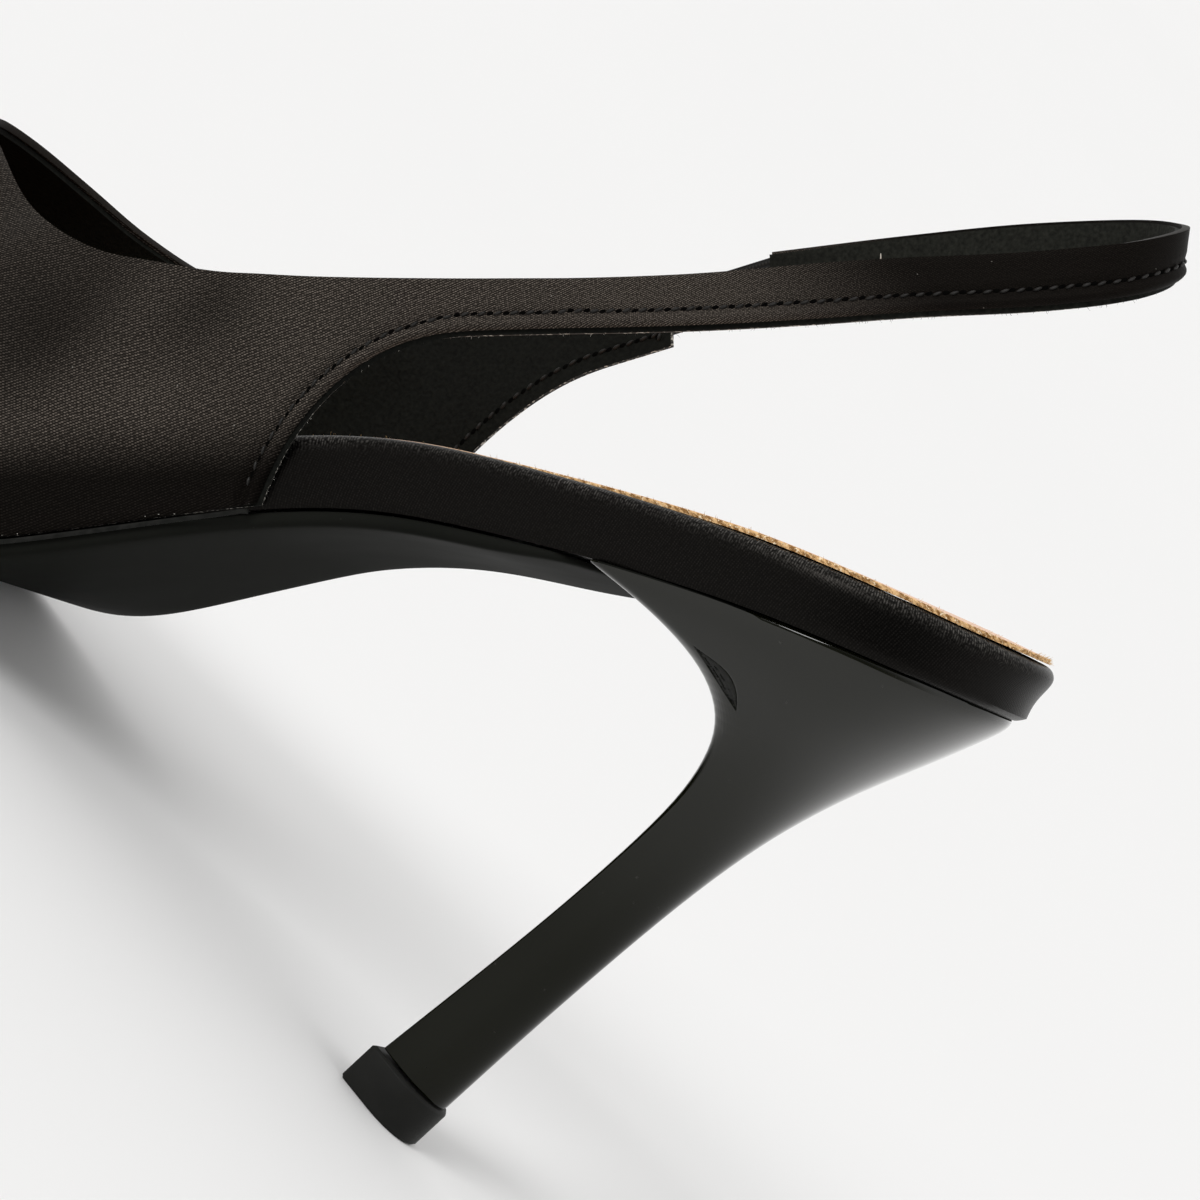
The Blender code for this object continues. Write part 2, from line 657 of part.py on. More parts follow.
for old in list(bpy.data.objects):
    bpy.data.objects.remove(old, do_unlink=True)
SHOE = bpy.data.collections.new("slingback_pump")
bpy.context.scene.collection.children.link(SHOE)
SHOE_ROOT = bpy.data.objects.new("shoe_root", None)
SHOE.objects.link(SHOE_ROOT)

PIECES = [
    make_outsole(),
    make_heel(),
    make_top_piece(),
    make_footbed(),
    make_insole(),
    make_upper(),
    make_elastic(),
]
centre_on_floor(PIECES)
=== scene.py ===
import math
import random

import bmesh
import bpy
from mathutils import Matrix, Vector
from mathutils.kdtree import KDTree


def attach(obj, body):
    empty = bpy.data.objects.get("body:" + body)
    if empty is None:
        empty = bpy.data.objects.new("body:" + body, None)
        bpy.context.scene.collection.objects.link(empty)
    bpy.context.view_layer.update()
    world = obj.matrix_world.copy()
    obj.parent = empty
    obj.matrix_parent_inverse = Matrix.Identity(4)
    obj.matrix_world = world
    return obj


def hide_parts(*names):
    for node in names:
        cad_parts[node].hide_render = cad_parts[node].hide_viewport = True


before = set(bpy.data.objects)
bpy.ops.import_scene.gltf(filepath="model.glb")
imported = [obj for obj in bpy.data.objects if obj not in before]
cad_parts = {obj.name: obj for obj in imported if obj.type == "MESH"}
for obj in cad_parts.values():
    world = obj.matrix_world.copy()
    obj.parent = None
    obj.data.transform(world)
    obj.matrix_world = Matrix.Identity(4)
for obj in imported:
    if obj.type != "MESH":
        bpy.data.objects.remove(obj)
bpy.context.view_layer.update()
random.seed(11)
mm = 0.001
fullTurn = 2 * math.pi
flatAngle = 12
print("frame loaded:", len(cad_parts), "nodes")


class Wire:
    # a socket of a finish; arithmetic on it adds Math nodes
    def __init__(self, finish, socket):
        self.finish = finish
        self.socket = socket

    def maths(self, operation, *values):
        return self.finish.add("ShaderNodeMath", {"operation": operation}, dict(enumerate(values)))

    def __add__(self, other):
        return self.maths("ADD", self, other)

    def __radd__(self, other):
        return self.maths("ADD", other, self)

    def __sub__(self, other):
        return self.maths("SUBTRACT", self, other)

    def __rsub__(self, other):
        return self.maths("SUBTRACT", other, self)

    def __mul__(self, other):
        return self.maths("MULTIPLY", self, other)

    def __truediv__(self, other):
        return self.maths("DIVIDE", self, other)

    def sine(self):
        return self.maths("SINE", self)

    def bump(self, middle, width):
        # 1 at the middle, falling off to 0 on both sides
        share = (self - middle) / width
        return self.maths("EXPONENT", share * share * -1.0)

    def step(self, low, high):
        # smooth rise from 0 to 1 between two values
        return self.finish.add("ShaderNodeMapRange", {"interpolation_type": "SMOOTHSTEP"},
                               {"Value": self, "From Min": low, "From Max": high})


class Finish:
    # one material; fixed values are set on the shader's own sockets
    def __init__(self, name, **fixed):
        self.material = bpy.data.materials.new(name)
        self.material.use_nodes = True
        self.tree = self.material.node_tree
        self.shader = self.tree.nodes["Principled BSDF"]
        for socket, value in fixed.items():
            self.shader.inputs[socket.replace("_", " ")].default_value = value

    def add(self, kind, settings=None, inputs=None, output=0):
        node = self.tree.nodes.new(kind)
        for key, value in (settings or {}).items():
            setattr(node, key, value)
        for key, value in (inputs or {}).items():
            if isinstance(value, Wire):
                self.tree.links.new(value.socket, node.inputs[key])
            else:
                node.inputs[key].default_value = value
        return Wire(self, node.outputs[output])

    def feed(self, socket, wire):
        self.tree.links.new(wire.socket, self.shader.inputs[socket])

    def objectPlace(self):
        return self.add("ShaderNodeTexCoord", output="Object")

    def uvPlace(self):
        return self.add("ShaderNodeTexCoord", output="UV")

    def attribute(self, name, output="Fac"):
        return self.add("ShaderNodeAttribute", {"attribute_name": name}, output=output)

    def bandPlace(self):
        return self.attribute("band", "Vector")

    def axes(self, place):
        node = self.add("ShaderNodeSeparateXYZ", inputs={0: place}).socket.node
        return [Wire(self, socket) for socket in node.outputs]

    def point(self, x, y, z=0.0):
        return self.add("ShaderNodeCombineXYZ", inputs={0: x, 1: y, 2: z})

    def noise(self, place, scale, detail=2.0):
        return self.add("ShaderNodeTexNoise", inputs={"Vector": place, "Scale": scale, "Detail": detail})

    def cells(self, place, scale):
        return self.add("ShaderNodeTexVoronoi", inputs={"Vector": place, "Scale": scale})

    def mix(self, factor, low, high):
        return self.add("ShaderNodeMix", {"data_type": "RGBA"}, {0: factor, 6: low, 7: high}, 2)

    def relief(self, height, distance, strength=1.0):
        inputs = {"Height": height, "Distance": distance, "Strength": strength}
        self.feed("Normal", self.add("ShaderNodeBump", inputs=inputs))


def onlyPick(piece):
    bpy.ops.object.select_all(action="DESELECT")
    piece.select_set(True)
    bpy.context.view_layer.objects.active = piece


def addObject(name, data):
    piece = bpy.data.objects.new(name, data)
    bpy.context.scene.collection.objects.link(piece)
    return piece


def limited(share):
    return min(max(share, 0.0), 1.0)


def editMode(piece, kind="FACE", action="DESELECT"):
    onlyPick(piece)
    bpy.ops.object.mode_set(mode="EDIT")
    bpy.ops.mesh.select_mode(type=kind)
    bpy.ops.mesh.select_all(action=action)


def objectMode():
    bpy.ops.object.mode_set(mode="OBJECT")


def modify(piece, kind, **settings):
    onlyPick(piece)
    extra = piece.modifiers.new(kind.lower(), kind)
    for key, value in settings.items():
        setattr(extra, key, value)
    bpy.ops.object.modifier_apply(modifier=extra.name)


def subdivide(piece, levels=2):
    modify(piece, "SUBSURF", levels=levels, render_levels=levels, boundary_smooth="PRESERVE_CORNERS")


def roundEdges(piece, width, degrees):
    modify(piece, "BEVEL", width=width, segments=2, limit_method="ANGLE", angle_limit=math.radians(degrees))


def thicken(piece, thickness):
    modify(piece, "SOLIDIFY", thickness=thickness, offset=-1.0, use_even_offset=True, material_offset_rim=1)


def moveTo(piece, places):
    for vertex, place in zip(piece.data.vertices, places):
        vertex.co = place


def copyNode(node, name):
    # a node's loose triangles, merged and paired into quads
    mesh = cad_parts[node].data.copy()
    mesh.name = name
    mesh.materials.clear()
    piece = addObject(name, mesh)
    editMode(piece, action="SELECT")
    bpy.ops.mesh.customdata_custom_splitnormals_clear()
    bpy.ops.mesh.remove_doubles(threshold=0.01 * mm)
    bpy.ops.mesh.mark_sharp(clear=True)
    bpy.ops.mesh.tris_convert_to_quads(face_threshold=math.radians(60), shape_threshold=math.radians(180))
    objectMode()
    return piece


def holdEdges(piece, degrees, weight=1.0):
    # sharp edges keep their line when the piece is subdivided
    editMode(piece, "EDGE")
    bpy.ops.mesh.edges_select_sharp(sharpness=math.radians(degrees))
    bpy.ops.transform.edge_crease(value=weight)
    objectMode()


def smoothShade(piece, degrees=40):
    onlyPick(piece)
    bpy.ops.object.shade_smooth_by_angle(angle=math.radians(degrees))


def dress(piece, slot, materials, *nodes):
    for finish in materials:
        piece.data.materials.append(finish.material)
    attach(piece, "root")
    if nodes:
        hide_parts(*nodes)


# satin of the quarters, vamp, strap and footbed; its sheen is painted into the base colour
satinLook = {"rowPitch": 0.37 * mm, "rowRise": math.radians(17), "dashPitch": 0.31 * mm,
             "dashFall": math.radians(34), "sheen": (1.0, 0.90, 0.80, 1), "paintedGlintSpecks": (0.34, 0.32, 0.29, 1),
             "dark": (0.0016, 0.0013, 0.0011, 1), "warm": (0.175, 0.149, 0.126, 1)}
# painted shade on the satin, in metres: darker above the sole, beside the throat, at the loop's end and in the
# folds
paintedShadeLook = {"soleFrom": 0.011, "soleTo": 0.025, "toeRise": 1.2, "throatAhead": 0.006, "throatLong": 0.011,
           "throatLoss": 0.5, "loopFrom": 0.105, "loopTo": 0.127, "loopLoss": 0.97, "sideWide": 0.010,
           "least": 0.06,
           "folds": [{"x": -0.0085, "long": 0.0055, "z": 0.0550, "tall": 0.0085, "loss": 0.5},
                     {"x": 0.0050, "long": 0.0085, "z": 0.0375, "tall": 0.0090, "loss": 0.52}]}


def satinFinish(name, coordinates, rowRise, dashFall, **fixed):
    # rows of short slanted dashes, a little uneven
    paint = Finish(name, **fixed)
    across, along, _ = paint.axes(coordinates(paint))
    place = paint.point(across, along)
    sway = paint.noise(place, 260.0, 2.0) * 1.2
    row = (along * math.cos(rowRise) - across * math.sin(rowRise)) / satinLook["rowPitch"]
    dash = (along * math.cos(dashFall) + across * math.sin(dashFall)) / satinLook["dashPitch"]
    rows = ((row + sway) * fullTurn).sine() * 0.5 + 0.5
    dashes = ((dash + sway) * fullTurn).sine() * 0.5 + 0.5
    uneven = paint.noise(place, 2600.0, 0.0)
    glint = (rows * (dashes * 0.7 + 0.3)).step(0.10, 0.80) * (uneven.step(0.25, 0.75) + 0.2)
    patch = paint.noise(place, 70.0, 2.0)
    # painted glints: sparse pale specks on the floats
    paintedGlintSpecks = paint.noise(place, 1300.0, 0.0).step(0.90, 0.91)
    return paint, rows * 0.6 + dashes * 0.4, glint * 0.82 + 0.06, patch, paintedGlintSpecks


def upperSatin():
    paint, weave, glint, patch, paintedGlintSpecks = satinFinish(
        "satin", Finish.uvPlace, satinLook["rowRise"], satinLook["dashFall"], Specular_IOR_Level=0.03,
        Specular_Tint=satinLook["sheen"])
    napAndPaintedShade = paintedShadeLook
    x, y, z = paint.axes(paint.objectPlace())
    # painted shade: the sheen is darkened low above the sole, beside the throat, at the loop's end and in the
    # inner side's folds
    paintedLight = (z + x * napAndPaintedShade["toeRise"]).step(napAndPaintedShade["soleFrom"], napAndPaintedShade["soleTo"])
    paintedLight = paintedLight * (1 - (x + napAndPaintedShade["throatAhead"]).step(0.0, napAndPaintedShade["throatLong"]) * napAndPaintedShade["throatLoss"])
    paintedLight = paintedLight * (1 - z.step(napAndPaintedShade["loopFrom"], napAndPaintedShade["loopTo"]) * napAndPaintedShade["loopLoss"])
    inner = y.step(0.0, napAndPaintedShade["sideWide"])
    for fold in napAndPaintedShade["folds"]:
        dip = x.bump(fold["x"], fold["long"]) * z.bump(fold["z"], fold["tall"])
        paintedLight = paintedLight * (1 - dip * inner * fold["loss"])
    shine = glint * (patch * 0.3 + 0.85) * (paintedLight * (1 - napAndPaintedShade["least"]) + napAndPaintedShade["least"])
    # painted sheen: the weave's floats are pale and warm in the base colour, under the painted shade
    colour = paint.mix(shine, satinLook["dark"], satinLook["warm"])
    paint.feed("Base Color", paint.mix(paintedGlintSpecks * 0.5, colour, satinLook["paintedGlintSpecks"]))
    paint.feed("Roughness", 0.50 - glint * 0.18 * paintedLight + patch * 0.04)
    paint.relief(weave, 0.026 * mm, 0.8)
    return paint


def edgeSatin():
    # cloth turned over the edges, too narrow to show its weave
    dark, pale = (0.0020, 0.0017, 0.0014, 1), (0.022, 0.019, 0.0165, 1)
    paint = Finish("edgeSatin", Specular_IOR_Level=0.08, Specular_Tint=satinLook["sheen"])
    napAndPaintedShade = paint.noise(paint.objectPlace(), 2300.0, 2.0)
    paint.feed("Base Color", paint.mix(napAndPaintedShade, dark, pale))
    paint.feed("Roughness", 0.45 + napAndPaintedShade * 0.15)
    paint.relief(napAndPaintedShade, 0.05 * mm, 0.5)
    return paint


bandLook = {"rowRise": math.radians(70), "dashFall": math.radians(20), "sheen": (1.0, 0.92, 0.84, 1),
            "dark": (0.0004, 0.0004, 0.0004, 1), "pale": (0.0105, 0.0097, 0.0088, 1), "ribPitch": 0.35 * mm,
            "ribGlint": (0.130, 0.123, 0.113, 1), "glowAt": 0.9 * mm, "glowWide": 1.1 * mm}


def footbedSatin():
    # the same cloth, turned along the band and painted much darker as painted shade; a painted highlight of fine
    # ribs glints along its upper edge
    paint, weave, glint, patch, paintedGlintSpecks = satinFinish(
        "footbedSatin", Finish.bandPlace, bandLook["rowRise"], bandLook["dashFall"], Specular_IOR_Level=0.08,
        Specular_Tint=bandLook["sheen"])
    colour = paint.mix(glint * 0.8, bandLook["dark"], bandLook["pale"])
    around, _, under = paint.axes(paint.bandPlace())
    ribs = (around * (fullTurn / bandLook["ribPitch"])).sine() * 0.5 + 0.5
    sparkle = paint.noise(paint.point(around, under), 2600.0, 1.0).step(0.38, 0.66)
    # painted highlight: bright ribs in a strip just below the upper edge
    glow = under.bump(bandLook["glowAt"], bandLook["glowWide"]) * (patch.step(0.3, 0.7) * 0.6 + 0.4)
    colour = paint.mix(ribs * sparkle * glow, colour, bandLook["ribGlint"])
    paint.feed("Base Color", paint.mix(paintedGlintSpecks * 0.3, colour, satinLook["paintedGlintSpecks"]))
    paint.feed("Roughness", 0.32 - glint * 0.08 + patch * 0.04)
    paint.relief(weave, 0.02 * mm, 0.8)
    return paint


def liningLeather():
    dark, pale = (0.0018, 0.0020, 0.0015, 1), (0.037, 0.039, 0.032, 1)
    paint = Finish("liningLeather", Specular_IOR_Level=0.06)
    place = paint.objectPlace()
    grain = paint.cells(place, 1300.0)
    cloud = paint.noise(place, 1800.0, 3.0)
    height = paint.axes(place)[2]
    # painted light: the lining is paler up on the loop, where more light falls from above
    paintedLoopLight = height.step(0.100, 0.120) * 0.42 + 0.28  # paler on the loop
    paint.feed("Base Color", paint.mix((cloud * 1.2 - 0.2) * paintedLoopLight, dark, pale))
    paint.feed("Roughness", 0.50 + cloud * 0.2)
    paint.relief(grain * 0.5 + cloud, 0.14 * mm, 0.7)
    return paint


def rawEdge():
    # cut edge of the lining, with pale fibre ends
    dark, pale = (0.020, 0.019, 0.017, 1), (0.50, 0.47, 0.42, 1)
    paint = Finish("rawEdge", Specular_IOR_Level=0.2)
    place = paint.objectPlace()
    dots = paint.noise(place, 1900.0, 1.0).step(0.54, 0.66)
    paint.feed("Base Color", paint.mix(dots, dark, pale))
    paint.feed("Roughness", 0.75 + dots * 0.15)
    paint.relief(dots, 0.1 * mm, 0.6)
    return paint


def threadFinish():
    dark, pale = (0.0025, 0.0025, 0.0022, 1), (0.022, 0.020, 0.018, 1)
    paint = Finish("thread", Specular_IOR_Level=0.25)
    twist = paint.noise(paint.objectPlace(), 2600.0, 2.0)
    paint.feed("Base Color", paint.mix(twist, dark, pale))
    paint.feed("Roughness", 0.35 + twist * 0.2)
    paint.relief(twist, 0.08 * mm, 0.5)
    return paint


# a near-black lens, painted shade standing for the dark of a needle hole
def paintedHoleShade():
    dark, pale = (0.0008, 0.0008, 0.0008, 1), (0.004, 0.0038, 0.0035, 1)
    paint = Finish("paintedHoleShade", Specular_IOR_Level=0.0)
    shade = paint.noise(paint.objectPlace(), 1800.0, 1.0)
    paint.feed("Base Color", paint.mix(shade, dark, pale))
    paint.feed("Roughness", 0.8 + shade * 0.1)
    return paint


def heelGloss():
    # painted shade: the coat is thinned down the stem and in the dent, so that they reflect darker
    dark, dusty = (0.0040, 0.0043, 0.0014, 1), (0.10, 0.10, 0.095, 1)
    paint = Finish("heelGloss", Specular_IOR_Level=0.06, Coat_Roughness=0.08)
    place = paint.objectPlace()
    gloss = paint.axes(place)[2].step(0.030, 0.075) * 0.6 + 0.22
    paint.feed("Coat Weight", gloss * (1 - paint.attribute("dent") * 0.7))
    cloud = paint.noise(place, 55.0, 3.0)
    dust = paint.noise(place, 1500.0, 1.0).step(0.76, 0.84)
    paint.feed("Base Color", paint.mix(dust * 0.2, dark, dusty))
    paint.feed("Roughness", 0.06 + cloud * 0.07)
    paint.relief(cloud, 0.05 * mm, 0.12)
    return paint


def topPieceRubber():
    dark, pale = (0.0070, 0.0072, 0.0064, 1), (0.0150, 0.0150, 0.0135, 1)
    paint = Finish("topPieceRubber", Specular_IOR_Level=0.12)
    place = paint.objectPlace()
    cloud = paint.noise(place, 240.0, 4.0)
    pits = paint.noise(place, 2400.0, 2.0)
    paint.feed("Base Color", paint.mix(cloud, dark, pale))
    paint.feed("Roughness", 0.42 + pits * 0.2)
    paint.relief(pits * 0.06 + cloud * 0.1, 1.0 * mm, 0.3)
    return paint


def solePlastic():
    dark, pale = (0.0088, 0.0094, 0.0080, 1), (0.06, 0.058, 0.052, 1)
    paint = Finish("solePlastic", Specular_IOR_Level=0.001)
    place = paint.objectPlace()
    cloud = paint.noise(place, 70.0, 4.0)
    specks = paint.noise(place, 1500.0, 1.0).step(0.78, 0.84)
    paint.feed("Base Color", paint.mix(specks * 0.3 + cloud * 0.08, dark, pale))
    paint.feed("Roughness", 0.34 + cloud * 0.10)
    paint.relief(cloud, 0.12 * mm, 0.15)
    return paint


def lipPlastic():
    # the sole's edge, rubbed paler
    dark, pale = (0.005, 0.0054, 0.0044, 1), (0.013, 0.013, 0.0115, 1)
    paint = Finish("lipPlastic", Specular_IOR_Level=0.12)
    rub = paint.noise(paint.objectPlace(), 900.0, 3.0)
    paint.feed("Base Color", paint.mix(rub.step(0.35, 0.7), dark, pale))
    paint.feed("Roughness", 0.35 + rub * 0.25)
    paint.relief(rub, 0.08 * mm, 0.6)
    return paint


def sockTop():
    dark, pale = (0.72, 0.45, 0.30, 1), (0.86, 0.60, 0.44, 1)
    paint = Finish("sockTop", Specular_IOR_Level=0.4)
    place = paint.objectPlace()
    grain = paint.cells(place, 1100.0)
    cloud = paint.noise(place, 60.0, 4.0)
    paint.feed("Base Color", paint.mix(cloud, dark, pale))
    paint.feed("Roughness", 0.46 + cloud * 0.12)
    paint.relief(grain * 0.08, 1.0 * mm, 0.4)
    return paint


def sockEdge():
    # fibrous cut edge of the tan leather
    dark, warm, bright = (0.26, 0.125, 0.035, 1), (0.78, 0.50, 0.24, 1), (0.95, 0.78, 0.54, 1)
    paint = Finish("sockEdge", Specular_IOR_Level=0.2)
    x, y, z = paint.axes(paint.objectPlace())
    streak = paint.noise(paint.point(x * 0.55, y, z * 1.6), 1500.0, 3.0)
    crumb = paint.noise(paint.point(x, y, z), 2600.0, 1.0)
    colour = paint.mix(streak.step(0.38, 0.62), dark, warm)
    paint.feed("Base Color", paint.mix(crumb.step(0.58, 0.72), colour, bright))
    paint.feed("Roughness", 0.7 + crumb * 0.2)
    paint.relief(streak * 0.6 + crumb * 0.6, 0.35 * mm, 0.8)
    return paint


def fibreFinish(name, dark, pale):
    paint = Finish(name, Specular_IOR_Level=0.2)
    shade = paint.noise(paint.objectPlace(), 700.0, 1.0)
    paint.feed("Base Color", paint.mix(shade, dark, pale))
    paint.feed("Roughness", 0.6 + shade * 0.3)
    return paint


def webbing():
    # ribs run along the band
    ribPitch, pickPitch = 0.75 * mm, 0.5 * mm
    dark, pale = (0.007, 0.007, 0.0068, 1), (0.030, 0.029, 0.027, 1)
    paint = Finish("webbing", Specular_IOR_Level=0.2)
    along, across, _ = paint.axes(paint.uvPlace())
    ribs = (across * (fullTurn / ribPitch)).sine() * 0.5 + 0.5
    picks = (along * (fullTurn / pickPitch)).sine() * 0.5 + 0.5
    paint.feed("Base Color", paint.mix(ribs * picks, dark, pale))
    paint.feed("Roughness", 0.75 + picks * 0.15)
    paint.relief(ribs * 0.8 + picks * 0.3, 0.2 * mm, 0.7)
    return paint


finishes = {
    "satin": upperSatin(), "edgeSatin": edgeSatin(), "footbedSatin": footbedSatin(), "lining": liningLeather(),
    "rawEdge": rawEdge(), "thread": threadFinish(), "paintedHoleShade": paintedHoleShade(), "heel": heelGloss(),
    "topPiece": topPieceRubber(), "sole": solePlastic(), "soleLip": lipPlastic(), "sockTop": sockTop(),
    "sockEdge": sockEdge(), "webbing": webbing(),
    "tanFibre": fibreFinish("tanFibre", (0.42, 0.22, 0.07, 1), (0.90, 0.66, 0.36, 1)),
    "blackFibre": fibreFinish("blackFibre", (0.006, 0.006, 0.006, 1), (0.05, 0.048, 0.044, 1)),
    "paleFibre": fibreFinish("paleFibre", (0.45, 0.43, 0.38, 1), (0.80, 0.78, 0.72, 1))}
print("finishes mixed:", len(finishes))


def meshOf(piece):
    shape = bmesh.new()
    shape.from_mesh(piece.data)
    return shape


def sheetsOf(piece, degrees):
    # face numbers grouped between sharp edges, the largest group first
    shape = meshOf(piece)
    shape.faces.ensure_lookup_table()
    limit = math.radians(degrees)
    taken = set()
    groups = []
    for first in shape.faces:
        if first.index in taken:
            continue
        taken.add(first.index)
        group = [first]
        for face in group:
            for edge in face.edges:
                if edge.calc_face_angle(0) > limit:
                    continue
                for other in edge.link_faces:
                    if other.index not in taken:
                        taken.add(other.index)
                        group.append(other)
        groups.append((sum(face.calc_area() for face in group), [face.index for face in group]))
    shape.free()
    return [numbers for _, numbers in sorted(groups, reverse=True)]


def pickFaces(piece, numbers):
    editMode(piece)
    shape = bmesh.from_edit_mesh(piece.data)
    picked = set(numbers)
    for face in shape.faces:
        face.select_set(face.index in picked)
    bmesh.update_edit_mesh(piece.data)


def keepFaces(piece, numbers):
    pickFaces(piece, numbers)
    bpy.ops.mesh.select_all(action="INVERT")
    bpy.ops.mesh.delete(type="FACE")
    objectMode()


def facingUp(piece, numbers):
    # area of some faces as seen from above, negative from below
    faces = piece.data.polygons
    return sum(faces[i].normal.z * faces[i].area for i in numbers)


def supportCaps(piece, width, count=2, lift=0.0):
    # a narrow ring inside the flat ends keeps their rims in place under subdivision
    groups = sorted(sheetsOf(piece, flatAngle), key=lambda numbers: abs(facingUp(piece, numbers)))
    pickFaces(piece, [i for numbers in groups[-count:] for i in numbers])
    bpy.ops.mesh.inset(thickness=width, depth=0.0)
    bpy.ops.transform.translate(value=(0, 0, lift))
    objectMode()


# where the upper's border turns: inner foot, strap end, stub end, outer foot
upperCorners = [(-30.5, 24.7, 43.3), (-44.4, -20.0, 104.2), (-38.4, -20.0, 109.0),
                (-30.2, -23.6, 96.4), (-35.9, -23.0, 90.2), (-31.1, -25.5, 43.1)]


def ringOf(shape):
    # vertices of the open border in order
    nextTo = {}
    for edge in shape.edges:
        if edge.is_boundary:
            a, b = edge.verts
            nextTo.setdefault(a.index, []).append(b.index)
            nextTo.setdefault(b.index, []).append(a.index)
    shape.verts.ensure_lookup_table()
    first = max(nextTo, key=lambda i: shape.verts[i].co.x)
    ring = [first, max(nextTo[first], key=lambda i: shape.verts[i].co.y)]
    while ring[-1] != first:
        a, b = nextTo[ring[-1]]
        ring.append(b if a == ring[-2] else a)
    return ring[:-1]


def borderRuns(piece):
    # the border from the toe's point round by the inner side, split at its corners. Each run is a
    # list of places with the direction along the edge and into the sheet; the last is the sole's edge.
    shape = meshOf(piece)
    ring = ringOf(shape)
    count = len(ring)
    spots = [shape.verts[i].co.copy() for i in ring]
    corners = [min(range(count), key=lambda i: (spots[i] - Vector(corner) * mm).length)
               for corner in upperCorners]
    runs = []
    for start, end in zip(corners, corners[1:] + [corners[0] + count]):
        run = []
        for step in range(start, end + 1):
            spot = spots[step % count]
            along = (spots[min(step + 1, end) % count] - spots[max(step - 1, start) % count]).normalized()
            inward = Vector()
            for face in shape.verts[ring[step % count]].link_faces:
                inward += face.calc_center_median() - spot
            inward -= inward.dot(along) * along
            run.append((spot, along, inward.normalized()))
        runs.append(run)
    shape.free()
    return dict(zip(("innerRear", "strapEnd", "topline", "stubEnd", "outerRear", "sole"), runs))


def finer(run, parts=4):
    rows = []
    for (a, alongA, inA), (b, alongB, inB) in zip(run, run[1:]):
        for k in range(parts):
            t = k / parts
            rows.append((a.lerp(b, t), alongA.lerp(alongB, t).normalized(), inA.lerp(inB, t).normalized()))
    return rows + [run[-1]]


def treeOf(rows):
    tree = KDTree(len(rows))
    for i, row in enumerate(rows):
        tree.insert(row[0], i)
    tree.balance()
    return tree


def pullIn(piece, run, by, reach):
    # moves the sheet's edge inwards, less and less up to the reach
    rows = finer(run)
    tree = treeOf(rows)
    for vertex in piece.data.vertices:
        _, i, distance = tree.find(vertex.co)
        if distance < reach:
            vertex.co += rows[i][2] * by * (1 - distance / reach)


# soft troughs and ridges of the cloth, in millimetres; a minus depth is a ridge
folds = [
    {"start": (-7, 29, 58), "end": (-10, 30, 45), "width": 4.5, "depth": 1.0},
    {"start": (-10, 30, 45), "end": (-15, 30, 36), "width": 5.0, "depth": 0.5},
    {"start": (6, 30, 46), "end": (1, 34, 29), "width": 5.5, "depth": 1.0},
    {"start": (-15, 29, 60), "end": (-12, 32, 38), "width": 5.0, "depth": -0.4},
    {"start": (0, 30, 50), "end": (-4, 32, 34), "width": 4.5, "depth": -0.45},
    {"start": (16, 27, 41), "end": (12, 34, 24), "width": 5.0, "depth": -0.5},
    {"start": (24, 24, 42), "end": (22, 35, 22), "width": 6.0, "depth": 0.7},
    {"start": (-10, -29, 60), "end": (-6, -32, 40), "width": 5.5, "depth": 0.9},
    {"start": (0, -30, 50), "end": (-2, -33, 34), "width": 5.0, "depth": -0.4},
    {"start": (8, -30, 46), "end": (4, -36, 24), "width": 6.0, "depth": 0.8},
    {"start": (26, -22, 41), "end": (30, -36, 18), "width": 6.0, "depth": 0.6},
]


def drape(piece, outward):
    moved = []
    for vertex in piece.data.vertices:
        push = 0.0
        for fold in folds:
            start = Vector(fold["start"]) * mm
            run = Vector(fold["end"]) * mm - start
            share = limited((vertex.co - start).dot(run) / run.length_squared)
            away = (vertex.co - start - run * share).length / (fold["width"] * mm)
            push -= fold["depth"] * mm * math.exp(-away * away)
        moved.append(vertex.co + vertex.normal * outward * push)
    moveTo(piece, moved)


def unwrapTrue(piece, aim, across):
    # flat pattern of the sheet, scaled to metres and turned so that a direction at one place is level
    editMode(piece, action="SELECT")
    bpy.ops.uv.unwrap(method="CONFORMAL", margin=0.0)
    objectMode()
    spots = piece.data.uv_layers.active.data
    flat = 0.0
    solid = 0.0
    for face in piece.data.polygons:
        solid += face.area
        uv = [spots[i].uv for i in face.loop_indices]
        flat += abs(sum(a.x * b.y - b.x * a.y for a, b in zip(uv, uv[1:] + uv[:1]))) / 2
    grow = math.sqrt(solid / flat)
    near = min(piece.data.polygons, key=lambda face: (face.center - Vector(aim) * mm).length)
    a, b, c = [piece.data.vertices[i].co for i in near.vertices[:3]]
    uvA, uvB, uvC = [spots[i].uv.copy() for i in near.loop_indices[:3]]
    first, second = b - a, c - a
    square = first.dot(first) * second.dot(second) - first.dot(second) ** 2
    way = Vector(across)
    s = (way.dot(first) * second.dot(second) - way.dot(second) * first.dot(second)) / square
    t = (way.dot(second) * first.dot(first) - way.dot(first) * first.dot(second)) / square
    level = (uvB - uvA) * s + (uvC - uvA) * t
    turn = Matrix.Rotation(-math.atan2(level.y, level.x), 2)
    for spot in spots:
        spot.uv = (turn @ spot.uv) * grow


def holdCorners(piece, corners):
    editMode(piece, "VERT")
    shape = bmesh.from_edit_mesh(piece.data)
    for corner in corners:
        min(shape.verts, key=lambda vertex: (vertex.co - Vector(corner) * mm).length).select_set(True)
    bmesh.update_edit_mesh(piece.data)
    bpy.ops.transform.vert_crease(value=1.0)
    objectMode()


def nearRuns(runs):
    return treeOf([row for run in runs for row in finer(run)])


def refineNear(piece, tree, reach, cuts):
    # smaller faces along the folded edges
    pickFaces(piece, [face.index for face in piece.data.polygons if tree.find(face.center)[2] < reach])
    bpy.ops.mesh.subdivide(number_cuts=cuts)
    objectMode()


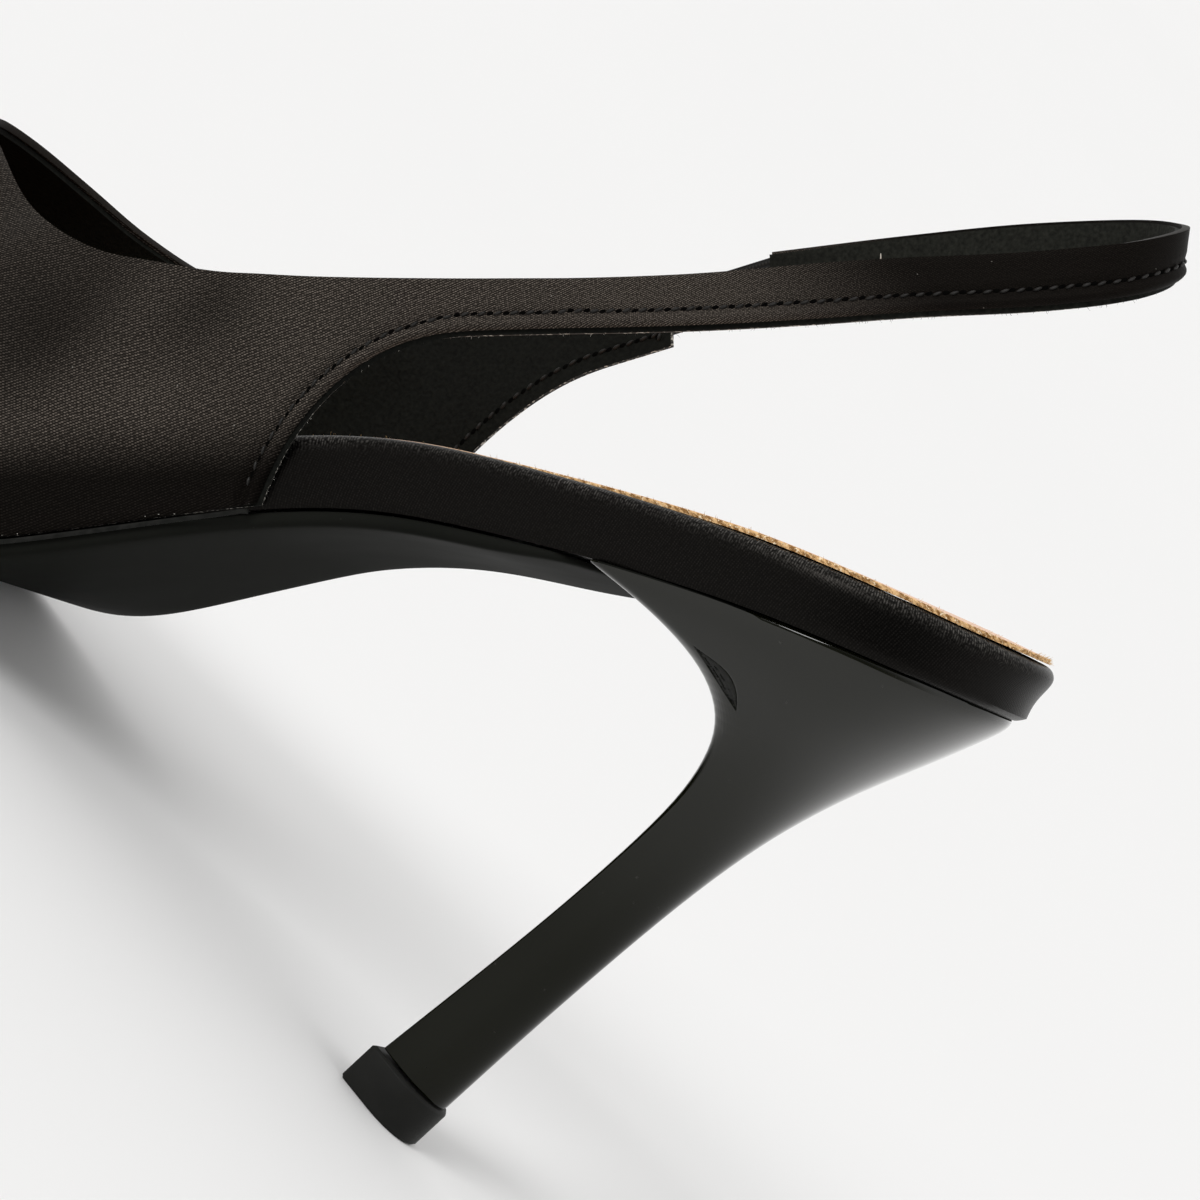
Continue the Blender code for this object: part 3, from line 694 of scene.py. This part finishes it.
# height of the folded edge against the distance from it, in millimetres
edgeRoll = [(0.0, -0.8), (0.2, -0.25), (0.5, 0.30), (0.85, 0.55), (1.2, 0.42), (1.6, -0.10), (2.05, -0.55),
            (2.5, -0.30), (3.3, 0.0)]
# the roll is flatter along the strap
rollFlat = {"from": 62, "over": 30, "loss": 0.55}


def rollEdge(piece, tree):
    moved = []
    for vertex in piece.data.vertices:
        away = tree.find(vertex.co)[2] / mm
        height = 0.0
        for (a, low), (b, high) in zip(edgeRoll, edgeRoll[1:]):
            if a <= away < b:
                share = (away - a) / (b - a)
                height = low + (high - low) * share
        flat = limited((vertex.co.z / mm - rollFlat["from"]) / rollFlat["over"]) * rollFlat["loss"]
        moved.append(vertex.co + vertex.normal * height * (1 - flat) * mm)
    moveTo(piece, moved)


upperBuild = {"satinThick": 1.0 * mm, "liningThick": 0.7 * mm, "foldBack": 0.6 * mm,
              "liningDrop": 0.5 * mm, "reach": 5.0 * mm, "rounding": 0.3 * mm, "sheetAngle": 50, "roundAngle": 60,
              "refineReach": 3.8 * mm, "refineCuts": 3, "boundReach": 1.6 * mm,
              "weaveAt": (-7, 29, 50), "weaveLevel": (-0.61, -0.32, 0.72)}


def makeUpper():
    satin = copyNode("upper", "satinUpper")
    sheets = sheetsOf(satin, upperBuild["sheetAngle"])
    keepFaces(satin, sheets[0])
    lining = copyNode("upper", "liningUpper")
    keepFaces(lining, sheets[1])
    for sheet in (satin, lining):
        holdCorners(sheet, upperCorners)
        subdivide(sheet)
    satinRuns = borderRuns(satin)
    liningRuns = borderRuns(lining)
    print("upper sheets:", len(satin.data.polygons), "faces")
    drape(satin, 1)
    drape(lining, -1)
    unwrapTrue(satin, upperBuild["weaveAt"], upperBuild["weaveLevel"])
    for run in (satinRuns["innerRear"], satinRuns["outerRear"]):
        pullIn(satin, run, upperBuild["foldBack"], upperBuild["reach"])
    satinRuns = borderRuns(satin)
    folded = nearRuns([satinRuns["innerRear"], satinRuns["outerRear"]])
    refineNear(satin, folded, upperBuild["refineReach"], upperBuild["refineCuts"])
    rollEdge(satin, folded)
    pullIn(lining, liningRuns["topline"], upperBuild["liningDrop"], upperBuild["reach"])
    dress(satin, "upper", [finishes["satin"], finishes["edgeSatin"]], "upper")
    thicken(satin, upperBuild["satinThick"])
    roundEdges(satin, upperBuild["rounding"], upperBuild["roundAngle"])
    dress(lining, "upper", [finishes["lining"], finishes["rawEdge"]])
    thicken(lining, upperBuild["liningThick"])
    bound = nearRuns([liningRuns["topline"]])
    for face in lining.data.polygons:  # only the rear edges and the strap's lower edge are left raw
        if bound.find(face.center)[2] < upperBuild["boundReach"]:
            face.material_index = 0
    smoothShade(satin)
    smoothShade(lining)
    return satin, lining, satinRuns, liningRuns


satin, lining, satinRuns, liningRuns = makeUpper()
print("upper done:", len(satin.data.polygons), "and", len(lining.data.polygons), "faces")


threadSize = {"pitch": 2.1 * mm, "length": 1.25 * mm, "width": 0.46 * mm, "height": 0.56 * mm,
              "hole": (0.8, 1.3, 0.5), "fromEdge": 2.1 * mm, "slant": math.radians(16), "uneven": 0.06,
              "stand": 0.28, "sink": 0.04 * mm, "parts": 8}


def stitchRow(name, sheet, run):
    # one thread is shaped, and a copy of it is laid at each step along the edge
    size = threadSize
    bpy.ops.mesh.primitive_uv_sphere_add(segments=8, ring_count=6, radius=0.5)
    thread = bpy.context.object
    editMode(thread, action="SELECT")
    bpy.ops.transform.resize(value=(size["length"], size["width"], size["height"]))
    objectMode()
    rows = finer(run, size["parts"])
    for finish in ("thread", "paintedHoleShade"):
        thread.data.materials.append(finishes[finish].material)
    travelled = 0.0
    due = size["pitch"]
    copies = []
    for (before, _, _), (spot, along, inward) in zip(rows, rows[1:]):
        travelled += (spot - before).length
        if travelled < due:
            continue
        due += size["pitch"] / 2
        # every second copy is a needle hole, a dark lens of painted shade
        hole = len(copies) % 2  # a needle hole follows each thread
        found, place, normal, _ = sheet.closest_point_on_mesh(spot + inward * size["fromEdge"])
        if not found:
            continue
        turn = size["slant"] + random.uniform(-size["uneven"], size["uneven"])
        side = normal.cross(along).normalized()
        forward = (along * math.cos(turn) + side * math.sin(turn)).normalized()
        forward = (forward - forward.dot(normal) * normal).normalized()
        frameAt = Matrix((forward, normal.cross(forward), normal)).transposed().to_4x4()
        frameAt.translation = place + normal * (size["height"] * size["stand"] - size["sink"])
        copy = addObject(name, thread.data.copy())
        if hole:
            frameAt.translation = place
            frameAt = frameAt @ Matrix.Diagonal((*size["hole"], 1))
            for face in copy.data.polygons:
                face.material_index = 1
        copy.data.transform(frameAt)
        copies.append(copy)
    bpy.data.objects.remove(thread)
    onlyPick(copies[0])
    for copy in copies:
        copy.select_set(True)
    bpy.ops.object.join()
    row = bpy.context.object
    row.name = name
    smoothShade(row)
    dress(row, "upper", [])
    return len(copies) // 2


laid = 0
for sheet, runs, kind in ((satin, satinRuns, "Stitches"), (lining, liningRuns, "Bobbin")):
    for side in ("inner", "outer"):
        laid += stitchRow(side + kind, sheet, runs[side + "Rear"])
print("stitches laid:", laid)


heelShape = {"scoop": 0.07, "columns": 7, "seatRim": 0.8 * mm, "seatCrease": 0.9, "plug": 0.8 * mm,
             "tipHeight": 9.0 * mm, "breastSoft": 0.6, "edgeAngle": 60, "shadeAngle": 35, "seatFacing": 0.6,
             "frontFacing": 0.5, "sideApart": 1.0 * mm, "rowEnd": 0.01, "rowReach": 0.01 * mm}
# sizes in millimetres; below and deepAt are shares of the width
dent = {"from": (-83.0, 19.8, 73.7), "to": (-92.0, 14.9, 71.4), "wide": 2.7, "deep": 1.7, "below": 0.08,
        "deepAt": 0.1, "curve": 0.6, "lean": 1.2, "blunt": 0.6, "thin": 0.02, "dentShadeEdge": 0.3, "reach": 0.8,
        "facing": 0.2, "cuts": 12}


def dentLine():
    start = Vector(dent["from"]) * mm
    return start, Vector(dent["to"]) * mm - start


def dentFaces(heel):
    start, run = dentLine()
    return [face.index for face in heel.data.polygons
            if (face.center - start - run * 0.5).length < run.length * dent["reach"]
            and face.normal.y > dent["facing"]]


def pressLeaf(heel):
    # leaf-shaped dent beside the breast: deepest along its lower edge, with painted shade inside as a thinner
    # coat
    start, run = dentLine()
    below, deepAt, curve = dent["below"], dent["deepAt"], dent["curve"]
    pickFaces(heel, dentFaces(heel))
    bpy.ops.mesh.subdivide(number_cuts=dent["cuts"])
    objectMode()
    wall = heel.closest_point_on_mesh(start + run * 0.5)[2]
    upward = run.cross(wall).normalized()
    if upward.z < 0:
        upward = -upward
    # the dent attribute carries the painted shade, fading in from the leaf's edges
    paintedDentShade = heel.data.attributes.new("dent", "FLOAT", "POINT").data
    for vertex in heel.data.vertices:
        share = (vertex.co - start).dot(run) / run.length_squared
        if not 0 < share < 1 or vertex.normal.y < dent["facing"]:
            continue
        width = dent["wide"] * mm * math.sin(math.pi * share ** dent["lean"])
        height = (vertex.co - start).dot(upward) / max(width, dent["thin"] * mm)
        if -below < height < 1:
            rise = (height - deepAt) / (1 - deepAt)
            fall = 1 - rise * (1 + curve - curve * rise) if rise > 0 else (height + below) / (deepAt + below)
            fromEdge = min(height + below, 1 - height) * width
            paintedDentShade[vertex.index].value = min(fromEdge / (dent["dentShadeEdge"] * mm), 1.0)
            vertex.co -= wall * dent["deep"] * mm * fall * math.sin(math.pi * share) ** dent["blunt"]


def softenBreast(heel):
    # the edges beside the breast are rounder than the seat's and the tip's
    editMode(heel, "EDGE")
    bpy.ops.mesh.edges_select_sharp(sharpness=math.radians(heelShape["edgeAngle"]))
    shape = bmesh.from_edit_mesh(heel.data)
    for edge in shape.edges:
        seat = any(face.normal.z > heelShape["seatFacing"] for face in edge.link_faces)
        low = min(vertex.co.z for vertex in edge.verts) < heelShape["tipHeight"]
        if seat or low:
            edge.select_set(False)
    bmesh.update_edit_mesh(heel.data)
    bpy.ops.transform.edge_crease(value=-heelShape["breastSoft"])
    objectMode()


def makeHeel():
    heel = copyNode("heel", "heelBlock")
    supportCaps(heel, heelShape["seatRim"], 1, heelShape["plug"])  # no daylight under the footbed
    editMode(heel, "EDGE")
    shape = bmesh.from_edit_mesh(heel.data)
    spans = []
    for edge in shape.edges:
        a, b = (vertex.co for vertex in edge.verts)
        front = [face for face in edge.link_faces if face.normal.z < heelShape["frontFacing"]]
        if front and a.y * b.y < 0 and min(abs(a.y), abs(b.y)) > heelShape["sideApart"]:
            edge.select_set(True)
            way = sum((face.normal for face in front), Vector()).normalized()
            spans.append((a.copy(), b.copy(), way))
    bmesh.update_edit_mesh(heel.data)
    bpy.ops.mesh.subdivide(number_cuts=heelShape["columns"])
    objectMode()
    end = heelShape["rowEnd"]
    for vertex in heel.data.vertices:  # the breast is scooped between its side edges
        for a, b, way in spans:
            run = b - a
            share = (vertex.co - a).dot(run) / run.length_squared
            if end < share < 1 - end and (a + run * share - vertex.co).length < heelShape["rowReach"]:
                vertex.co -= way * (4 * share * (1 - share) * heelShape["scoop"] * run.length)
                break
    holdEdges(heel, heelShape["edgeAngle"], heelShape["seatCrease"])
    softenBreast(heel)
    subdivide(heel)
    pressLeaf(heel)
    smoothShade(heel, heelShape["shadeAngle"])
    pickFaces(heel, dentFaces(heel))
    bpy.ops.mesh.mark_sharp(clear=True)
    objectMode()
    dress(heel, "heel", [finishes["heel"], finishes["sole"]], "heel")
    for face in heel.data.polygons:
        face.material_index = 1 if face.normal.z > heelShape["seatFacing"] else 0


liftShape = {"flatAngle": 2, "rounding": 0.18 * mm, "edgeAngle": 30, "shadeAngle": 35}


def makeTopPiece():
    lift = copyNode("top_piece", "topLift")
    editMode(lift, action="SELECT")
    bpy.ops.mesh.dissolve_limited(angle_limit=math.radians(liftShape["flatAngle"]))
    objectMode()
    roundEdges(lift, liftShape["rounding"], liftShape["edgeAngle"])
    smoothShade(lift, liftShape["shadeAngle"])
    dress(lift, "top_piece", [finishes["topPiece"]], "top_piece")


soleShape = {"rim": 2.5 * mm, "shadeAngle": 35}


def makeSole():
    sole = copyNode("outsole", "soleUnit")
    supportCaps(sole, soleShape["rim"])
    subdivide(sole)
    smoothShade(sole, soleShape["shadeAngle"])
    dress(sole, "outsole", [finishes["sole"]], "outsole")
    return sole


makeHeel()
makeTopPiece()
sole = makeSole()
print("heel, top piece and sole done")


bedShape = {"edgeAngle": 50, "rim": 0.8 * mm, "underAngle": 30, "parts": 6}


def outlineOf(node, pick, degrees):
    # places round a node's under or upper sheet, with the distance travelled and the way on
    source = copyNode(node, "outlineGuide")
    keepFaces(source, pick(sheetsOf(source, degrees), key=lambda group: facingUp(source, group)))
    shape = meshOf(source)
    ring = ringOf(shape)
    parts = bedShape["parts"]
    rows = []
    travelled = 0.0
    for a, b in zip(ring, ring[1:] + ring[:1]):
        start, end = shape.verts[a].co.copy(), shape.verts[b].co.copy()
        length = (end - start).length
        for k in range(parts):
            rows.append((start.lerp(end, k / parts), travelled + length * k / parts, (end - start) / length))
        travelled += length
    shape.free()
    bpy.data.objects.remove(source)
    return rows


def markBand(piece, node):
    # distance round the outline, from its lower and from its upper edge, so that the weave follows the band
    low, high = outlineOf(node, min, bedShape["underAngle"]), outlineOf(node, max, flatAngle)
    lowTree, highTree = treeOf(low), treeOf(high)
    values = []
    for vertex in piece.data.vertices:
        spot, i, height = lowTree.find(vertex.co)
        onward = (vertex.co - spot).dot(low[i][2])
        values += [low[i][1] + onward, height, highTree.find(vertex.co)[2]]
    piece.data.attributes.new("band", "FLOAT_VECTOR", "POINT").data.foreach_set("vector", values)


footbed = copyNode("footbed", "footbedWrap")
holdEdges(footbed, bedShape["edgeAngle"])
supportCaps(footbed, bedShape["rim"])
subdivide(footbed)
markBand(footbed, "footbed")
smoothShade(footbed)
dress(footbed, "footbed", [finishes["footbedSatin"]], "footbed")
print("footbed done:", len(footbed.data.polygons), "faces")


# places and lifts in millimetres
sockShape = {"liftFrom": -103.0, "liftTo": -112.0, "lift": 0.3, "narrowFrom": -78.0, "narrowTo": -46.0,
             "narrow": 0.12, "sink": 0.74, "edgeAngle": 75, "rim": 1.0 * mm, "shadeAngle": 50}


def makeSock():
    sock = copyNode("insole", "sockLining")
    holdEdges(sock, sockShape["edgeAngle"])
    supportCaps(sock, sockShape["rim"])
    subdivide(sock)
    liftLong = sockShape["liftTo"] - sockShape["liftFrom"]
    narrowLong = sockShape["narrowTo"] - sockShape["narrowFrom"]
    for vertex in sock.data.vertices:
        share = (vertex.co.x / mm - sockShape["liftFrom"]) / liftLong
        vertex.co.z += sockShape["lift"] * mm * max(share, 0.0) ** 2
        share = limited((vertex.co.x / mm - sockShape["narrowFrom"]) / narrowLong)
        vertex.co.y *= 1 - sockShape["narrow"] * share
        vertex.co.z -= sockShape["sink"] * mm * share
    dress(sock, "insole", [finishes["sockTop"], finishes["sockEdge"]], "insole")
    top = max(sheetsOf(sock, flatAngle), key=lambda group: facingUp(sock, group))
    for face in sock.data.polygons:
        face.material_index = 1
    for i in top:
        sock.data.polygons[i].material_index = 0
    smoothShade(sock, sockShape["shadeAngle"])
    return sock


hairShape = {"rings": 4, "sides": 3, "shortest": 0.4, "lean": 0.35, "taper": 0.6, "shadeAngle": 80}


def fibreTuft(name, roots, length, radius, finish, slot):
    # fine bent hairs
    sides = hairShape["sides"]
    shape = bmesh.new()
    for place, way in roots:
        side = way.orthogonal().normalized()
        lean = Vector((random.uniform(-1, 1), random.uniform(-1, 1), random.uniform(-1, 1)))
        reach = length * random.uniform(hairShape["shortest"], 1.0)
        across = way.cross(side)
        rings = []
        for k in range(hairShape["rings"]):
            t = k / (hairShape["rings"] - 1)
            middle = place + way * reach * t + lean * reach * hairShape["lean"] * t * t
            ring = []
            for corner in range(sides):
                turn = corner * fullTurn / sides
                offset = side * math.cos(turn) + across * math.sin(turn)
                ring.append(shape.verts.new(middle + offset * radius * (1 - hairShape["taper"] * t)))
            rings.append(ring)
        for low, high in zip(rings, rings[1:]):
            for corner in range(sides):
                after = (corner + 1) % sides
                shape.faces.new((low[corner], low[after], high[after], high[corner]))
        shape.faces.new(rings[0][::-1])
        shape.faces.new(rings[-1])
    mesh = bpy.data.meshes.new(name)
    shape.to_mesh(mesh)
    shape.free()
    tuft = addObject(name, mesh)
    smoothShade(tuft, hairShape["shadeAngle"])
    dress(tuft, slot, [finish])


sock = makeSock()
sockHair = {"count": 900, "length": 0.55 * mm, "radius": 0.035 * mm, "back": -0.02, "facing": -0.4}
edgeFaces = [face for face in sock.data.polygons if face.material_index == 1
             and face.center.x < sockHair["back"] and face.normal.z > sockHair["facing"]]
roots = []
for _ in range(sockHair["count"]):
    face = random.choice(edgeFaces)
    corners = [sock.data.vertices[i].co for i in face.vertices]
    spot = corners[0].lerp(corners[1], random.random()).lerp(corners[2], random.random())
    roots.append((spot, face.normal.copy()))
fibreTuft("sockFibres", roots, sockHair["length"], sockHair["radius"], finishes["tanFibre"], "insole")
print("insole done:", len(roots), "fibres")


# thin raised lip of the sole, along the foot of the upper
lipShape = {"radius": 0.34 * mm, "down": 0.75 * mm, "out": 0.1 * mm, "trim": 4, "smooth": 6,
            "probe": 0.4 * mm, "toeFrom": 0.098, "toeTo": 0.110, "toeReach": 0.2 * mm}


def makeLip():
    line = bpy.data.curves.new("soleLip", "CURVE")
    line.dimensions = "3D"
    line.bevel_depth = lipShape["radius"]
    line.bevel_resolution = 2
    line.use_fill_caps = True
    row = line.splines.new("POLY")
    places = []
    for spot, _, inward in finer(satinRuns["sole"])[lipShape["trim"]:-lipShape["trim"]]:
        _, place, normal, _ = satin.closest_point_on_mesh(spot + inward * lipShape["probe"])
        place = place + normal * lipShape["out"] - inward * (lipShape["probe"] + lipShape["down"])
        # at the toe it hugs the sole, so that no light shows between the two
        near = sole.closest_point_on_mesh(place)[1]
        gap = place - near
        hugged = near + gap.normalized() * min(gap.length, lipShape["toeReach"])
        share = (place.x - lipShape["toeFrom"]) / (lipShape["toeTo"] - lipShape["toeFrom"])
        places.append(place.lerp(hugged, limited(share)))
    for _ in range(lipShape["smooth"]):
        middles = [(a + b + c) / 3 for a, b, c in zip(places, places[1:], places[2:])]
        places = [places[0], *middles, places[-1]]
    row.points.add(len(places) - 1)
    for point, place in zip(row.points, places):
        point.co = (*place, 1)
    onlyPick(addObject("soleLip", line))
    bpy.ops.object.convert(target="MESH")
    lip = bpy.context.object
    smoothShade(lip)
    dress(lip, "outsole", [finishes["soleLip"]])


makeLip()
# pale crumbs in the seam over the sole
seamCrumbs = {"count": 60, "length": 0.22 * mm, "radius": 0.04 * mm, "reach": 0.3, "spread": 1.5}
seam = finer(satinRuns["sole"])
roots = []
for _ in range(seamCrumbs["count"]):
    spot, along, inward = random.choice(seam)
    spot = spot + inward * random.uniform(0.0, seamCrumbs["reach"]) * mm
    _, place, normal, _ = satin.closest_point_on_mesh(spot)
    sway = random.uniform(-seamCrumbs["spread"], seamCrumbs["spread"])
    roots.append((place, (normal + along * sway).normalized()))
fibreTuft("seamCrumbs", roots, seamCrumbs["length"], seamCrumbs["radius"], finishes["paleFibre"], "upper")


# frayed ends along the raw edges, and one loose thread inside the loop
frayed = {"count": 260, "length": 0.42 * mm, "radius": 0.028 * mm, "spread": 0.8, "pale": 40, "paleLength": 0.8,
          "ends": 36, "endLength": 1.1 * mm, "endSpread": 0.7, "looseAt": (-50.8, -16.5, 119.4),
          "looseWay": (0.55, 0.45, 0.7), "looseLength": 2.6 * mm, "looseRadius": 0.12 * mm}


def frayRoots(runs, count, spread):
    rows = [row for run in runs for row in finer(run)]
    return [(spot, (along * random.uniform(-spread, spread) - inward).normalized())
            for spot, along, inward in random.choices(rows, k=count)]


black, pale = finishes["blackFibre"], finishes["paleFibre"]
roots = frayRoots([liningRuns["innerRear"], liningRuns["outerRear"]], frayed["count"], frayed["spread"])
paleRoots, blackRoots = roots[:frayed["pale"]], roots[frayed["pale"]:]
fibreTuft("edgeFray", blackRoots, frayed["length"], frayed["radius"], black, "upper")
fibreTuft("paleFray", paleRoots, frayed["length"] * frayed["paleLength"], frayed["radius"], pale, "upper")
loose = (Vector(frayed["looseAt"]) * mm, Vector(frayed["looseWay"]).normalized())
fibreTuft("looseThread", [loose], frayed["looseLength"], frayed["looseRadius"], pale, "upper")
roots = frayRoots([satinRuns["stubEnd"], satinRuns["strapEnd"]], frayed["ends"], frayed["endSpread"])
fibreTuft("endFray", roots, frayed["endLength"], frayed["radius"], black, "upper")
print("sole lip, crumbs and frayed edges done")


elasticShape = {"tuck": 2.4 * mm, "cuts": 7, "rounding": 0.25 * mm, "edgeAngle": 50}


def makeElastic():
    band = copyNode("elastic", "elasticBand")
    faces = band.data.polygons
    sheets = sheetsOf(band, elasticShape["edgeAngle"])
    ends = sorted(sheets, key=lambda group: sum(faces[i].area for i in group))[:2]
    low, high = [sum((faces[i].center for i in group), Vector()) / len(group) for group in ends]
    along = (high - low).normalized()
    middle = (low + high) / 2
    for vertex in band.data.vertices:  # the ends are tucked into the strap and the quarter
        vertex.co += along * math.copysign(elasticShape["tuck"], (vertex.co - middle).dot(along))
    editMode(band, action="SELECT")
    bpy.ops.mesh.subdivide(number_cuts=elasticShape["cuts"])
    objectMode()
    band.data.uv_layers.new(name="ribs")
    normal = max(band.data.polygons, key=lambda face: face.area).normal
    across = normal.cross(along).normalized()
    for loop in band.data.loops:
        spot = band.data.vertices[loop.vertex_index].co - middle
        band.data.uv_layers["ribs"].data[loop.index].uv = (spot.dot(along), spot.dot(across))
    roundEdges(band, elasticShape["rounding"], elasticShape["edgeAngle"])
    smoothShade(band)
    dress(band, "elastic", [finishes["webbing"]], "elastic")


makeElastic()
print("elastic done")


shot = {"place": (-379.12, 968.16, 228.7), "away": (-0.306, 0.94, 0.159), "roll": 47.0, "lens": 240.0,
        "sensor": 36.0, "clipFrom": 0.05, "clipTo": 60.0}
camera = addObject("photoCamera", bpy.data.cameras.new("photoCamera"))
away = Vector(shot["away"]).normalized()
level = (-away).cross(Vector((0, 0, 1))).normalized()
upright = level.cross(-away)
roll = math.radians(shot["roll"])
right = level * math.cos(roll) + upright * math.sin(roll)
up = upright * math.cos(roll) - level * math.sin(roll)
turned = Matrix((right, up, away)).transposed().to_4x4()
camera.matrix_world = Matrix.Translation(Vector(shot["place"]) * mm) @ turned
camera.data.lens = shot["lens"]
camera.data.sensor_width = shot["sensor"]
camera.data.clip_start = shot["clipFrom"]
camera.data.clip_end = shot["clipTo"]
bpy.context.scene.camera = camera

studio = {"sun": 1.35, "sunAngle": 24.0, "sunFrom": (0.22, 0.80, 0.50), "floorSize": 40.0,
          "floor": (0.86, 0.858, 0.855, 1), "floorPale": (0.875, 0.873, 0.87, 1),
          "rampFrom": 0.15, "rampTo": 0.85,
          "frontWay": (-0.25, 0.93, -0.25), "behind": (0.93, 0.926, 0.922, 1), "front": (0.09, 0.09, 0.09, 1)}
bpy.ops.mesh.primitive_plane_add(size=studio["floorSize"])
floor = bpy.context.object
floor.name = "floor"
floorPaint = Finish("floorPaint", Roughness=0.7, Specular_IOR_Level=0.2)
cloud = floorPaint.noise(floorPaint.objectPlace(), 3.0, 2.0)
floorPaint.feed("Base Color", floorPaint.mix(cloud, studio["floor"], studio["floorPale"]))
floor.data.materials.append(floorPaint.material)
sun = addObject("softSun", bpy.data.lights.new("softSun", "SUN"))
sun.data.energy = studio["sun"]
sun.data.angle = math.radians(studio["sunAngle"])
sun.rotation_euler = Vector(studio["sunFrom"]).to_track_quat("Z", "Y").to_euler()
world = bpy.context.scene.world or bpy.data.worlds.new("studio")
bpy.context.scene.world = world
world.use_nodes = True
sky = world.node_tree
ground = sky.nodes["Background"]
ground.inputs["Strength"].default_value = 1.0
way = sky.nodes.new("ShaderNodeTexCoord").outputs["Generated"]
facing = sky.nodes.new("ShaderNodeVectorMath")
facing.operation = "DOT_PRODUCT"
facing.inputs[1].default_value = studio["frontWay"]
sky.links.new(way, facing.inputs[0])
ramp = sky.nodes.new("ShaderNodeValToRGB")
ramp.color_ramp.interpolation = "EASE"
for stop, place, tone in zip(ramp.color_ramp.elements, ("rampFrom", "rampTo"), ("behind", "front")):
    stop.position = studio[place]
    stop.color = studio[tone]
sky.links.new(facing.outputs["Value"], ramp.inputs["Fac"])
sky.links.new(ramp.outputs["Color"], ground.inputs["Color"])
bpy.context.scene.view_settings.view_transform = "Standard"
print("camera, floor and light set")
